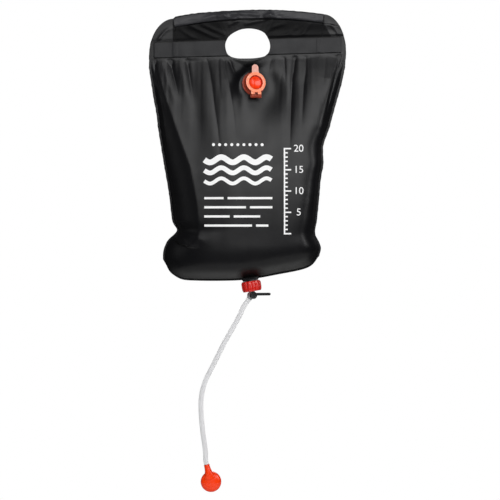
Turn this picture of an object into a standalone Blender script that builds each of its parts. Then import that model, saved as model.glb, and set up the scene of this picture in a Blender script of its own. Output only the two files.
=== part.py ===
"""A hanging camp shower bag: two welded sheets with a hand hole, a filler with a hinged cap, an outlet with
a tap, a hose and a shower head. Metres, +Z up, front towards -Y, origin at the top of the hand hole, where
the bag hangs. The bag is modelled as it hangs in use, partly filled and a little askew."""

import math

import bmesh
import bpy
from mathutils import Matrix, Vector

# Clearances and mesh limits
GAP = 0.0003
MERGE_DIST = 0.000001
CUT_OVERRUN = 0.02
SHARP_ANGLE = math.radians(35)

# Bag
BAG_WIDTH = 0.403
BAG_LENGTH = 0.553
BAG_HALF_DEPTH = 0.060
SHEET = 0.0006
EDGE_WELD = 0.005
BAG_TILT_SHARE = 0.0295
LEFT_SIDE_SHARES = (
    (0.10, -1.008), (0.15, -1.006), (0.19, -0.990), (0.23, -0.974), (0.27, -0.956), (0.31, -0.935),
    (0.375, -0.913), (0.49, -0.862), (0.61, -0.806), (0.69, -0.781), (0.72, -0.762), (0.742, -0.722),
    (0.757, -0.745), (0.78, -0.816), (0.814, -0.858), (0.84, -0.868), (0.87, -0.862),
)
RIGHT_SIDE_SHARES = (
    (0.10, 0.986), (0.15, 0.972), (0.205, 0.941), (0.24, 0.914), (0.285, 0.879), (0.335, 0.842),
    (0.375, 0.811), (0.41, 0.774), (0.445, 0.753), (0.50, 0.758), (0.555, 0.732), (0.635, 0.712),
    (0.705, 0.693), (0.756, 0.672), (0.78, 0.704), (0.81, 0.733), (0.84, 0.713),
)
BOTTOM_EDGE_SHARES = (
    (0.0, 0.843), (0.03, 0.890), (0.07, 0.911), (0.12, 0.926), (0.2, 0.930), (0.35, 0.931),
    (0.5, 0.9285), (0.62, 0.920), (0.73, 0.908), (0.85, 0.895), (0.92, 0.884), (0.965, 0.868),
    (1.0, 0.835),
)
DEPTH_SHARES = (
    (0.0, 0.0), (0.03, 0.08), (0.09, 0.25), (0.2, 0.5), (0.31, 0.66), (0.45, 0.78), (0.6, 0.85),
    (0.74, 0.86), (0.79, 0.83), (0.85, 0.95), (0.9, 1.0), (0.95, 0.86), (0.98, 0.55), (1.0, 0.0),
)
CROSS_POWER_SHARE = 0.75
CHAMBER_TOP_DROP = 0.0556
HEADER_ROWS = 3
UPPER_ROWS_SHARE = 0.27
FRONT_UPPER_ROWS = 9
BACK_UPPER_ROWS = 4
LOWER_ROWS = 10
LOWER_ROWS_POWER = 1.4
FRONT_COLUMNS = 20
BACK_COLUMNS = 16

# Header: hem sleeve, its rod and the reinforcing strips
HEM_TOP = 0.0375
HEM_CROWN = 0.013
HEM_END_INSET = 0.0495
HEM_HALF_LENGTH = BAG_WIDTH / 2 - HEM_END_INSET
HEM_HEIGHT = 0.017
HEM_THICKNESS = 0.009
CORNER_DROP = 0.076
ROD_RADIUS = 0.0032
ROD_END_INSET = 0.002
HEM_STATIONS = 13
HEM_SIDES = 12
STRIP_HEIGHT = 0.034
STRIP_THICKNESS = 0.0015
STRIP_END_INSET = 0.0095

# Hand hole
HOLE_WIDTH = 0.0912
HOLE_HEIGHT = 0.0612
HOLE_OUTLINE_SHARES = (
    (0.0, 0.0), (0.19, 0.035), (0.34, 0.134), (0.425, 0.30), (0.479, 0.53), (0.46, 0.766),
    (0.367, 0.917), (0.165, 0.985), (-0.071, 1.0), (-0.29, 0.984), (-0.46, 0.873), (-0.521, 0.583),
    (-0.482, 0.36), (-0.387, 0.195), (-0.197, 0.045),
)
HOLE_STEPS = 3

# The chamber's weld dips round the hand hole
HOLE_MARGIN_BELOW = 0.0059
HOLE_MARGIN_ASIDE = 0.0164
CHAMBER_DIP = HOLE_HEIGHT + HOLE_MARGIN_BELOW - CHAMBER_TOP_DROP
CHAMBER_DIP_HALF_WIDTH = HOLE_WIDTH / 2 + HOLE_MARGIN_ASIDE

# Filler: base on the front sheet, seen a little from its left, with the cap hinged below it
FILLER_X = 0.0096
FILLER_DROP = 0.1153
FILLER_YAW = math.radians(19)
FILLER_PITCH = math.radians(8)
FILLER_PAD_RADIUS = 0.040
FILLER_PAD_BLEND = 0.036
FILLER_PAD_RISE = 0.0022
FLANGE_RADIUS = 0.024
FLANGE_THICKNESS = 0.002
NECK_OUTER = 0.0195
NECK_BORE = 0.0162
NECK_HEIGHT = 0.012
SHEET_HOLE_MARGIN = 0.0008
SEAL_THICKNESS = 0.0012
CAP_RADIUS = 0.021
CAP_RIM_THICKNESS = 0.0032
RECESS_RADIUS = 0.0143
PLUG_WALL = 0.0015
PLUG_TAPER = 0.0008
CUP_FLOOR_HEIGHT = 0.008
CUP_FLOOR_THICKNESS = 0.0015
TAB_WIDTH = 0.014
TAB_REACH = 0.037
TAB_THICKNESS = 0.0025
HINGE_DROP = 0.028
HINGE_PIN_RADIUS = 0.0015
HINGE_BARREL_RADIUS = 0.004
HINGE_HALF_WIDTH = 0.011
KNUCKLE_HALF_WIDTH = 0.004
KNUCKLE_ARM_THICKNESS = 0.0034

# Outlet: spigot in the bottom seam, gasket and union nut, square to the sloping seam
OUTLET_X = 0.0039
OUTLET_OVERHANG = 0.0014
OUTLET_TILT = math.radians(9)
BOAT_LENGTH = 0.044
BOAT_THICKNESS = 0.020
BOAT_RISE = 0.010
BOAT_FOOT = 0.0022
BOAT_POWER = 1.5
SPIGOT_RADIUS = 0.0118
SPIGOT_BORE = 0.006
SPIGOT_LENGTH = 0.0142
THREAD_TURNS = 3
THREAD_DEPTH = 0.0005
GASKET_THICKNESS = 0.002
GASKET_RADIUS = 0.0116
TAIL_RADIUS = 0.0115
TAIL_THICKNESS = 0.003
NUT_TOP = 0.0027
NUT_HEIGHT = 0.021
NUT_RADIUS = 0.0205
NUT_END_RADIUS = 0.0182
NUT_BORE = 0.0126
NUT_LIP_BORE = 0.0078
NUT_FLUTES = 12
NUT_FLUTE_DEPTH = 0.0013

# Tap: its plug lies across the flow, turned a little to the right
TAP_ASIDE = 0.0023
TAP_BELOW_OUTLET = 0.0315
TAP_YAW = math.radians(20)
HOSE_LEAN = math.radians(36)
HOUSING_RADIUS = 0.0068
HOUSING_HALF_LENGTH = 0.008
TAP_NECK_RADIUS = 0.0060
NIPPLE_RADIUS = 0.0056
NIPPLE_REACH = 0.0093
FLOW_BORE = 0.0023
PLUG_RADIUS = 0.0047
SHANK_RADIUS = 0.0025
SHANK_REACH = 0.0045
TAP_O_RING_CORD = 0.0011
O_RING_PLACE = 0.0055
RETAINER_RADIUS = 0.0062
RETAINER_THICKNESS = 0.0014
BUTTON_RADIUS = 0.0032
BUTTON_THICKNESS = 0.001
LEVER_HUB_RADIUS = 0.0073
LEVER_HUB_HEIGHT = 0.0052
LEVER_REACH = 0.037
LEVER_THICKNESS = 0.005
LEVER_DEPTH = 0.0042
LEVER_RISE = 0.0022

# Shower head: the shell's back faces front, and the rose plate faces away
HEAD_X = -0.0767
HEAD_DROP = 0.9247
HEAD_TILT = math.radians(14)
HEAD_RADIUS = 0.021
HEAD_DOME = 0.009
HEAD_RIM = 0.0035
HEAD_WALL = 0.0018
HEAD_NECK_LENGTH = 0.037
HEAD_NECK_RADIUS = 0.0055
HEAD_NECK_ROOT_RADIUS = 0.0072
HEAD_NECK_END = 0.008
HEAD_NECK_STANDOFF = 0.0035
HEAD_BORE = 0.0028
ROSE_THICKNESS = 0.0018
ROSE_HOLE_RADIUS = 0.0009
ROSE_RING_SHARES = (0.0, 0.34, 0.68)
ROSE_RING_COUNTS = (1, 6, 12)
HEAD_SEAL_CORD = 0.002
HEAD_SEAL_INSET = 0.0013

# Hose: its route hangs from the tap to the head's neck, in x and drop
HOSE_RADIUS = 0.005
HOSE_STEPS = 2
HOSE_ROUTE = (
    (-0.0104, 0.5677), (-0.0228, 0.5943), (-0.0494, 0.6410), (-0.0712, 0.6848), (-0.0900, 0.7238),
    (-0.0971, 0.7607), (-0.0947, 0.8107), (-0.0884, 0.8576),
)
HOSE_SEATING = 0.008

DOME_STEPS = 5
ROUND_SIDES = 28
SMALL_SIDES = 20
TINY_SIDES = 6


def clear_scene():
    for found in list(bpy.data.objects):
        bpy.data.objects.remove(found, do_unlink=True)


def material(name, color, roughness, metallic=0.0):
    made = bpy.data.materials.new(name)
    made.use_nodes = True
    shader = made.node_tree.nodes["Principled BSDF"]
    shader.inputs["Base Color"].default_value = (*color, 1.0)
    shader.inputs["Roughness"].default_value = roughness
    shader.inputs["Metallic"].default_value = metallic
    return made


def place(name, mesh, look, parent=None, location=(0, 0, 0)):
    """An object in the scene, seated in its parent's frame."""
    made = bpy.data.objects.new(name, mesh)
    bpy.context.scene.collection.objects.link(made)
    made.parent = parent
    made.location = location
    if look is not None:
        mesh.materials.append(look)
    return made


def finish_mesh(name, bm):
    bmesh.ops.remove_doubles(bm, verts=bm.verts, dist=MERGE_DIST)
    bmesh.ops.recalc_face_normals(bm, faces=bm.faces)
    mesh = bpy.data.meshes.new(name)
    bm.to_mesh(mesh)
    bm.free()
    mesh.shade_smooth()
    mesh.set_sharp_from_angle(angle=SHARP_ANGLE)
    return mesh


def turned_mesh(name, profile, sides=ROUND_SIDES, ring=False):
    """A profile of (radius, height) points spun about Z. A ring's profile closes on itself."""
    bm = bmesh.new()
    verts = [bm.verts.new((radius, 0, height)) for radius, height in profile]
    pairs = list(zip(verts, verts[1:]))
    if ring:
        pairs.append((verts[-1], verts[0]))
    edges = [bm.edges.new(pair) for pair in pairs]
    bmesh.ops.spin(
        bm, geom=verts + edges, cent=(0, 0, 0), axis=(0, 0, 1), angle=math.tau, steps=sides, use_merge=True
    )
    return finish_mesh(name, bm)


def lofted_mesh(name, rings, closed=False):
    """Quads between rings of as many points each, with flat ends unless the rings close on themselves."""
    bm = bmesh.new()
    rows = [[bm.verts.new(point) for point in ring] for ring in rings]
    count = len(rows[0])
    following = list(zip(rows, rows[1:]))
    if closed:
        following.append((rows[-1], rows[0]))
    for row, after in following:
        for i in range(count):
            j = (i + 1) % count
            bm.faces.new((row[i], row[j], after[j], after[i]))
    if not closed:
        bm.faces.new(rows[0])
        bm.faces.new(rows[-1])
    return finish_mesh(name, bm)


def rod_mesh(name, start, end, radius, end_radius=None, sides=ROUND_SIDES):
    """A round bar from one point to another, tapered where it has a second radius."""
    start, end = Vector(start), Vector(end)
    along = end - start
    turn = along.to_track_quat("Z", "Y").to_matrix().to_4x4()
    bm = bmesh.new()
    bmesh.ops.create_cone(
        bm, cap_ends=True, segments=sides, radius1=radius, depth=along.length,
        radius2=radius if end_radius is None else end_radius,
        matrix=Matrix.Translation((start + end) / 2) @ turn,
    )
    return finish_mesh(name, bm)


def prism_mesh(name, outline, low, high):
    """An outline in X and Y, drawn up from one height to another."""
    return lofted_mesh(name, [[(x, y, height) for x, y in outline] for height in (low, high)])


def cord_ring_mesh(name, middle_radius, cord, height, sides=SMALL_SIDES):
    """A round-section ring, such as an O-ring."""
    turns = [math.tau * i / TINY_SIDES for i in range(TINY_SIDES)]
    profile = [
        (middle_radius + cord / 2 * math.cos(turn), height + cord / 2 * math.sin(turn)) for turn in turns
    ]
    return turned_mesh(name, profile, sides, ring=True)


def guide(name, mesh, parent=None, location=(0, 0, 0)):
    """A shape that only cuts or joins another, and isn't a piece."""
    made = place(name, mesh, None, parent, location)
    made.hide_render = True
    made.display_type = "WIRE"
    return made


def combine(piece, operation, *others):
    for other in others:
        step = piece.modifiers.new(other.name, "BOOLEAN")
        step.operation = operation
        step.object = other
        step.solver = "EXACT"


def frame_at(name, origin, x_axis, y_axis, z_axis, parent=None):
    """An empty that carries pieces, standing where its three axes say."""
    made = bpy.data.objects.new(name, None)
    bpy.context.scene.collection.objects.link(made)
    columns = Matrix((x_axis, y_axis, z_axis)).transposed().to_4x4()
    made.parent = parent
    made.matrix_basis = Matrix.Translation(origin) @ columns
    return made


def between(shares, at):
    """The value of a table of (place, value) pairs, straight between its points."""
    if at <= shares[0][0]:
        return shares[0][1]
    for (low, first), (high, second) in zip(shares, shares[1:]):
        if at <= high:
            return first + (second - first) * (at - low) / (high - low)
    return shares[-1][1]


def smooth_step(share):
    share = min(max(share, 0), 1)
    return share * share * (3 - 2 * share)


def curve_through(points, steps, closed=False):
    """Points on the smooth curve that passes through the given ones, with so many steps to each."""
    count = len(points)
    found = []
    for i in range(count if closed else count - 1):
        picked = []
        for k in range(i - 1, i + 3):
            picked.append(points[k % count] if closed else points[min(max(k, 0), count - 1)])
        a, b, c, d = (Vector(point) for point in picked)
        for step in range(steps):
            t = step / steps
            bend = 2 * a - 5 * b + 4 * c - d
            twist = 3 * b - a - 3 * c + d
            found.append(b + ((c - a) * t + bend * t**2 + twist * t**3) / 2)
    if not closed:
        found.append(Vector(points[-1]))
    return found


# Bag outline

def side_x(z, shares):
    return BAG_WIDTH / 2 * between(shares, -z / BAG_LENGTH)


def hem_line(x):
    """Height of the bag's top edge along the hem: a low arch, askew as the bag hangs."""
    return HEM_TOP + BAG_TILT_SHARE * x - HEM_CROWN * (x / HEM_HALF_LENGTH) ** 2


def top_edge(x):
    """The hem's line, rounded down to the side past its ends."""
    if abs(x) <= HEM_HALF_LENGTH:
        return hem_line(x)
    end = math.copysign(HEM_HALF_LENGTH, x)
    edge = side_x(0, LEFT_SIDE_SHARES if x < 0 else RIGHT_SIDE_SHARES)
    share = min((x - end) / (edge - end), 1)
    return hem_line(end) - CORNER_DROP * (1 - math.sqrt(1 - share**2))


def strip_line(x):
    """Height of the lower edge of the reinforcing strips, where the water chamber begins."""
    return -CHAMBER_TOP_DROP + BAG_TILT_SHARE * x


def chamber_top(x):
    """The chamber's upper weld, which dips round the hand hole."""
    share = min(abs(x) / CHAMBER_DIP_HALF_WIDTH, 1)
    return strip_line(x) - CHAMBER_DIP * (1 + math.cos(math.pi * share)) / 2


def bottom_edge(x):
    """Height of the bag's bottom edge."""
    left, right = side_x(-BAG_LENGTH, LEFT_SIDE_SHARES), side_x(-BAG_LENGTH, RIGHT_SIDE_SHARES)
    return -BAG_LENGTH * between(BOTTOM_EDGE_SHARES, (x - left) / (right - left))


def filler_axes():
    """Right, up and outward directions of the filler."""
    outward = Vector((
        math.sin(FILLER_YAW) * math.cos(FILLER_PITCH),
        -math.cos(FILLER_YAW) * math.cos(FILLER_PITCH),
        math.sin(FILLER_PITCH),
    ))
    right = Vector((math.cos(FILLER_YAW), math.sin(FILLER_YAW), 0))
    return right, outward.cross(right), outward


def bulge(across, down):
    """How far the sheet stands out, for shares across and down the chamber inside its welds."""
    return (
        BAG_HALF_DEPTH * between(DEPTH_SHARES, down) * max(1 - (2 * across - 1) ** 2, 0) ** CROSS_POWER_SHARE
    )


def spaced(count):
    """Shares from 0 to 1, a little closer together near both ends."""
    even = [i / count for i in range(count + 1)]
    return [(share + (1 - math.cos(math.pi * share)) / 2) / 2 for share in even]


def sheet_grid(column_count, upper_rows):
    """Rows of points of a sheet's outer face, (x, standing out, z), from the top down."""
    weld_share = EDGE_WELD / BAG_WIDTH
    inner = spaced(column_count)
    columns = [0, *(weld_share + share * (1 - 2 * weld_share) for share in inner), 1]
    upper = [i / upper_rows * UPPER_ROWS_SHARE for i in range(upper_rows)]
    left_over = [(1 - i / LOWER_ROWS) ** LOWER_ROWS_POWER for i in range(LOWER_ROWS + 1)]
    lower = [UPPER_ROWS_SHARE + (1 - UPPER_ROWS_SHARE) * (1 - share) for share in left_over]
    flat = GAP / 2 + SHEET
    rows = []
    left, right = side_x(0, LEFT_SIDE_SHARES), side_x(0, RIGHT_SIDE_SHARES)
    for i in range(HEADER_ROWS):
        row = []
        for column in columns:
            x = left + (right - left) * column
            low, high = chamber_top(x), top_edge(x)
            row.append((x, flat, high + (low - high) * i / HEADER_ROWS))
        rows.append(row)
    for down in (*upper, *lower, None):
        row = []
        for column in columns:
            high = chamber_top(left + (right - left) * column)
            low = -BAG_LENGTH * between(BOTTOM_EDGE_SHARES, column)
            z = low if down is None else high + (low + EDGE_WELD - high) * down
            x_left, x_right = side_x(z, LEFT_SIDE_SHARES), side_x(z, RIGHT_SIDE_SHARES)
            x = x_left + (x_right - x_left) * column
            across = min(max((column - weld_share) / (1 - 2 * weld_share), 0), 1)
            out = 0 if down is None else bulge(across, down)
            row.append((x, flat + out, z))
        rows.append(row)
    return rows


def filler_seat(rows):
    """The point of the front sheet where the filler's base sits."""
    points = [point for row in rows for point in row]
    near = min(points, key=lambda p: (p[0] - FILLER_X) ** 2 + (p[2] + FILLER_DROP) ** 2)
    return Vector((FILLER_X, -near[1], -FILLER_DROP))


def seated_on_pad(point, seat, outward):
    """Draws the sheet round the filler into the plane of its base."""
    x, y, z = point
    distance = math.hypot(x - seat.x, z - seat.z)
    weight = 1 - smooth_step((distance - FILLER_PAD_RADIUS) / FILLER_PAD_BLEND)
    plane = seat.y - ((x - seat.x) * outward.x + (z - seat.z) * outward.z) / outward.y
    weld = -(GAP / 2 + SHEET)
    share = smooth_step((weld - y) / FILLER_PAD_RISE)
    return (x, y + (plane - y) * weight * share, z)


def sheet_mesh(name, rows, front):
    bm = bmesh.new()
    verts = [[bm.verts.new(point) for point in row] for row in rows]
    for row, after in zip(verts, verts[1:]):
        for i in range(len(row) - 1):
            corners = (row[i], after[i], after[i + 1], row[i + 1])
            bm.faces.new(corners if front else corners[::-1])
    mesh = bpy.data.meshes.new(name)
    bm.to_mesh(mesh)
    bm.free()
    mesh.shade_smooth()
    mesh.set_sharp_from_angle(angle=SHARP_ANGLE)
    return mesh


def oval(half_height, half_thickness):
    turns = [math.tau * i / HEM_SIDES for i in range(HEM_SIDES)]
    return [(half_height * math.cos(turn), half_thickness * math.sin(turn)) for turn in turns]


def hem_section(x, outline):
    """One cross-section of the hem, square to its line, from points of (up, through) about its middle."""
    slope = BAG_TILT_SHARE - 2 * HEM_CROWN * x / HEM_HALF_LENGTH**2
    up = Vector((-slope, 0, 1)).normalized()
    centre = Vector((x, 0, hem_line(x) - HEM_HEIGHT / 2))
    return [centre + up * height + Vector((0, through, 0)) for height, through in outline]


def hem_sweep(half_length, outline):
    places = [half_length * (2 * i / (HEM_STATIONS - 1) - 1) for i in range(HEM_STATIONS)]
    return [hem_section(x, outline) for x in places]


def hem_clearance():
    """What the sheets leave free for the hem: its own room, open to the top."""
    low, high, side = -HEM_HEIGHT / 2 - GAP, HEM_HEIGHT / 2 + CUT_OVERRUN, HEM_THICKNESS / 2 + GAP
    return [(low, -side), (high, -side), (high, side), (low, side)]


def hole_outline():
    """The hand hole in X and Z, through its own points."""
    points = [(x * HOLE_WIDTH, -z * HOLE_HEIGHT, 0) for x, z in HOLE_OUTLINE_SHARES]
    return [(point.x, point.y) for point in curve_through(points, HOLE_STEPS, closed=True)]


def boat_outline(margin=0.0):
    """The lens-shaped weld block of the outlet, in X and Y."""
    half, thick = BOAT_LENGTH / 2 + margin, BOAT_THICKNESS / 2 + margin
    turns = [math.tau * i / SMALL_SIDES for i in range(SMALL_SIDES)]
    return [
        (half * math.cos(turn), math.copysign(thick * abs(math.sin(turn)) ** BOAT_POWER, math.sin(turn)))
        for turn in turns
    ]


def build_bag(looks, outlet):
    rows = sheet_grid(FRONT_COLUMNS, FRONT_UPPER_ROWS)
    right, up, outward = filler_axes()
    seat = filler_seat(rows)
    filler = frame_at("filler_frame", seat, right, up, outward)
    front_rows = [[seated_on_pad((x, -y, z), seat, outward) for x, y, z in row] for row in rows]
    front = place("front_panel", sheet_mesh("front_panel", front_rows, True), looks["sheet"])
    back_rows = sheet_grid(BACK_COLUMNS, BACK_UPPER_ROWS)
    back = place("back_panel", sheet_mesh("back_panel", back_rows, False), looks["sheet"])
    hole = guide("hand_hole_cutter", prism_mesh(
        "hand_hole_cutter", hole_outline(), -CUT_OVERRUN, CUT_OVERRUN))
    hole.rotation_euler = (math.pi / 2, 0, 0)
    hem_cut = guide("hem_cutter", lofted_mesh(
        "hem_cutter", hem_sweep(HEM_HALF_LENGTH + GAP, hem_clearance())))
    boat_cut = guide("boat_cutter", prism_mesh(
        "boat_cutter", boat_outline(GAP), -CUT_OVERRUN, BOAT_RISE + GAP), outlet)
    filler_cut = guide("filler_cutter", rod_mesh(
        "filler_cutter", (0, 0, -CUT_OVERRUN), (0, 0, CUT_OVERRUN), NECK_BORE + SHEET_HOLE_MARGIN), filler)
    for panel in (front, back):
        wall = panel.modifiers.new("wall", "SOLIDIFY")
        wall.thickness = SHEET
        wall.offset = -1
        combine(panel, "DIFFERENCE", hole, hem_cut, boat_cut)
    combine(front, "DIFFERENCE", filler_cut)
    build_hem(looks)
    build_strips(looks, hole)
    return filler


def build_hem(looks):
    outer = hem_sweep(HEM_HALF_LENGTH, oval(HEM_HEIGHT / 2, HEM_THICKNESS / 2))
    bore = hem_sweep(HEM_HALF_LENGTH, oval(ROD_RADIUS + GAP, ROD_RADIUS + GAP))
    place("hem_sleeve", lofted_mesh("hem_sleeve", outer + bore[::-1], closed=True), looks["strip"])
    rod = hem_sweep(HEM_HALF_LENGTH - ROD_END_INSET, oval(ROD_RADIUS, ROD_RADIUS))
    place("stiffening_rod", lofted_mesh("stiffening_rod", rod), looks["rod"])


def build_strips(looks, hole):
    """Flat strips that stiffen the header, cut off at the hand hole."""
    back = -(GAP / 2 + SHEET + GAP)
    ends = {
        "strip_left": (side_x(0, LEFT_SIDE_SHARES) + STRIP_END_INSET, -HOLE_WIDTH / 3),
        "strip_right": (HOLE_WIDTH / 3, side_x(0, RIGHT_SIDE_SHARES) - STRIP_END_INSET),
    }
    for name, (start, end) in ends.items():
        rings = []
        for x in (start, end):
            low = strip_line(x)
            rings.append([
                (x, back, low), (x, back, low + STRIP_HEIGHT),
                (x, back - STRIP_THICKNESS, low + STRIP_HEIGHT), (x, back - STRIP_THICKNESS, low),
            ])
        strip = place(name, lofted_mesh(name, rings), looks["strip"])
        combine(strip, "DIFFERENCE", hole)


# Filler

def hinge_bar(name, low, high, radius, filler):
    """A round bar along the hinge's axis."""
    start, end = (low, -HINGE_DROP, NECK_HEIGHT), (high, -HINGE_DROP, NECK_HEIGHT)
    return guide(name, rod_mesh(name, start, end, radius, sides=SMALL_SIDES), filler)


def hinge_leaf(name, near, far, reach, arm_low, arm_high, filler):
    """A barrel round the hinge's pin with an arm to its part, drawn across from one side to the other."""
    radius = HINGE_BARREL_RADIUS
    first = math.asin(min((arm_high - NECK_HEIGHT) / radius, 1))
    last = math.tau + math.asin(max((arm_low - NECK_HEIGHT) / radius, -1))
    turns = [first + (last - first) * i / SMALL_SIDES for i in range(SMALL_SIDES + 1)]
    outline = [
        (radius * math.cos(turn) - HINGE_DROP, radius * math.sin(turn) + NECK_HEIGHT) for turn in turns
    ]
    outline += [(reach, outline[-1][1]), (reach, outline[0][1])]
    return guide(name, lofted_mesh(name, [[(x, y, z) for y, z in outline] for x in (near, far)]), filler)


def build_filler(looks, filler):
    bore = NECK_BORE
    neck = place("filler_neck", turned_mesh("filler_neck", [
        (bore, GAP), (FLANGE_RADIUS, GAP), (FLANGE_RADIUS, GAP + FLANGE_THICKNESS),
        (NECK_OUTER + FLANGE_THICKNESS, GAP + FLANGE_THICKNESS), (NECK_OUTER, GAP + 2 * FLANGE_THICKNESS),
        (NECK_OUTER, NECK_HEIGHT), (bore, NECK_HEIGHT),
    ], ring=True), looks["orange"], filler)
    arm_top = NECK_HEIGHT - GAP
    knuckle = hinge_leaf("knuckle", -KNUCKLE_HALF_WIDTH, KNUCKLE_HALF_WIDTH, -(bore + NECK_OUTER) / 2,
                         arm_top - KNUCKLE_ARM_THICKNESS, arm_top, filler)
    pin_hole = hinge_bar("pin_hole", -HINGE_HALF_WIDTH - CUT_OVERRUN, HINGE_HALF_WIDTH + CUT_OVERRUN,
                         HINGE_PIN_RADIUS + GAP, filler)
    combine(neck, "UNION", knuckle)
    combine(neck, "DIFFERENCE", pin_hole)
    place("filler_hinge_pin", rod_mesh(
        "filler_hinge_pin", (-HINGE_HALF_WIDTH, -HINGE_DROP, NECK_HEIGHT),
        (HINGE_HALF_WIDTH, -HINGE_DROP, NECK_HEIGHT), HINGE_PIN_RADIUS, sides=SMALL_SIDES),
        looks["orange"], filler)
    build_cap(looks, filler, pin_hole)


def build_cap(looks, filler, pin_hole):
    """The cap's own frame lies on the hinge's axis."""
    hinge = frame_at("cap_hinge", (0, -HINGE_DROP, NECK_HEIGHT), (1, 0, 0), (0, 1, 0), (0, 0, 1), filler)
    shift = (0, HINGE_DROP, -NECK_HEIGHT)
    seal_low = NECK_HEIGHT + GAP
    rim_low = seal_low + SEAL_THICKNESS + GAP
    rim_high = rim_low + CAP_RIM_THICKNESS
    plug = RECESS_RADIUS + PLUG_WALL
    floor_low = CUP_FLOOR_HEIGHT
    floor_high = CUP_FLOOR_HEIGHT + CUP_FLOOR_THICKNESS
    edge = CAP_RIM_THICKNESS / 3
    cap = place("filler_cap", turned_mesh("filler_cap", [
        (0, floor_high), (RECESS_RADIUS - PLUG_WALL, floor_high), (RECESS_RADIUS, floor_high + PLUG_WALL),
        (RECESS_RADIUS, rim_high - edge), (RECESS_RADIUS + edge, rim_high), (CAP_RADIUS - edge, rim_high),
        (CAP_RADIUS, rim_high - edge), (CAP_RADIUS, rim_low), (plug, rim_low),
        (plug - PLUG_TAPER, floor_low), (0, floor_low),
    ]), looks["orange"], hinge, shift)
    place("filler_seal", turned_mesh("filler_seal", [
        (plug + GAP, seal_low), (NECK_OUTER, seal_low), (NECK_OUTER, seal_low + SEAL_THICKNESS),
        (plug + GAP, seal_low + SEAL_THICKNESS),
    ], ring=True), looks["rubber"], hinge, shift)
    half = TAB_WIDTH / 2
    tip = TAB_REACH - half
    turns = [math.pi * i / TINY_SIDES for i in range(TINY_SIDES + 1)]
    outline = [(half, CAP_RADIUS - half / 2)]
    outline += [(half * math.cos(turn), tip + half * math.sin(turn)) for turn in turns]
    outline.append((-half, CAP_RADIUS - half / 2))
    tab = guide("cap_tab", prism_mesh(
        "cap_tab", outline, rim_low + GAP, rim_low + GAP + TAB_THICKNESS), filler)
    combine(cap, "UNION", tab)
    for side, name in ((-1, "ear_left"), (1, "ear_right")):
        near, far = sorted((side * (KNUCKLE_HALF_WIDTH + GAP), side * HINGE_HALF_WIDTH))
        root = -(RECESS_RADIUS + CAP_RADIUS) / 2
        ear = hinge_leaf(name, near, far, root, rim_low + GAP, rim_high - edge, filler)
        combine(cap, "UNION", ear)
    combine(cap, "DIFFERENCE", pin_hole)


# Outlet

def outlet_seat():
    """The outlet's place under the bottom edge."""
    return Vector((OUTLET_X, 0, bottom_edge(OUTLET_X) - OUTLET_OVERHANG))


def build_outlet(looks, outlet):
    foot = -BOAT_FOOT
    spigot = place(
        "outlet_spigot", prism_mesh("outlet_spigot", boat_outline(), foot, BOAT_RISE), looks["black"], outlet)
    pitch = (SPIGOT_LENGTH - BOAT_FOOT) / (THREAD_TURNS + 1)
    crest, root = SPIGOT_RADIUS, SPIGOT_RADIUS - THREAD_DEPTH
    profile = [(0, 0), (root, 0)]
    for turn in range(THREAD_TURNS):
        height = foot - pitch * (turn + 1)
        profile += [(root, height + pitch / 3), (crest, height), (root, height - pitch / 3)]
    profile += [(root, -SPIGOT_LENGTH), (0, -SPIGOT_LENGTH)]
    tube = guide("spigot_tube", turned_mesh("spigot_tube", profile), outlet)
    bore = guide("spigot_bore", rod_mesh(
        "spigot_bore", (0, 0, -CUT_OVERRUN), (0, 0, CUT_OVERRUN), SPIGOT_BORE, sides=SMALL_SIDES), outlet)
    combine(spigot, "UNION", tube)
    combine(spigot, "DIFFERENCE", bore)
    gasket_high = -SPIGOT_LENGTH - GAP
    gasket_low = gasket_high - GASKET_THICKNESS
    place("outlet_gasket", turned_mesh("outlet_gasket", [
        (SPIGOT_BORE, gasket_high), (GASKET_RADIUS, gasket_high), (GASKET_RADIUS, gasket_low),
        (SPIGOT_BORE, gasket_low),
    ], ring=True), looks["rubber"], outlet)
    build_nut(looks, outlet)


def tail_heights():
    """Top and bottom of the tap's tail, which the nut draws up against the gasket."""
    top = -SPIGOT_LENGTH - GASKET_THICKNESS - 2 * GAP
    return top, top - TAIL_THICKNESS


def build_nut(looks, outlet):
    high, low = -NUT_TOP, -NUT_TOP - NUT_HEIGHT
    lip = tail_heights()[1] - GAP
    step = NUT_HEIGHT / 5
    mesh = turned_mesh("outlet_nut", [
        (NUT_BORE, high), (NUT_END_RADIUS, high), (NUT_RADIUS, high - step), (NUT_RADIUS, low + 2 * step),
        (NUT_END_RADIUS, low), (NUT_LIP_BORE, low), (NUT_LIP_BORE, lip), (NUT_BORE, lip),
    ], sides=4 * NUT_FLUTES, ring=True)
    for vert in mesh.vertices:
        radius = math.hypot(vert.co.x, vert.co.y)
        if radius > NUT_END_RADIUS + MERGE_DIST:
            turn = math.atan2(vert.co.y, vert.co.x)
            cut = NUT_FLUTE_DEPTH * (1 + math.cos(NUT_FLUTES * turn)) / 2
            vert.co.x *= (radius - cut) / radius
            vert.co.y *= (radius - cut) / radius
    place("outlet_nut", mesh, looks["red"], outlet)


# Tap

def hose_direction():
    return Vector((-math.sin(HOSE_LEAN), 0, -math.cos(HOSE_LEAN)))


def tap_centre():
    return outlet_seat() + Vector((TAP_ASIDE, 0, -TAP_BELOW_OUTLET))


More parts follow.
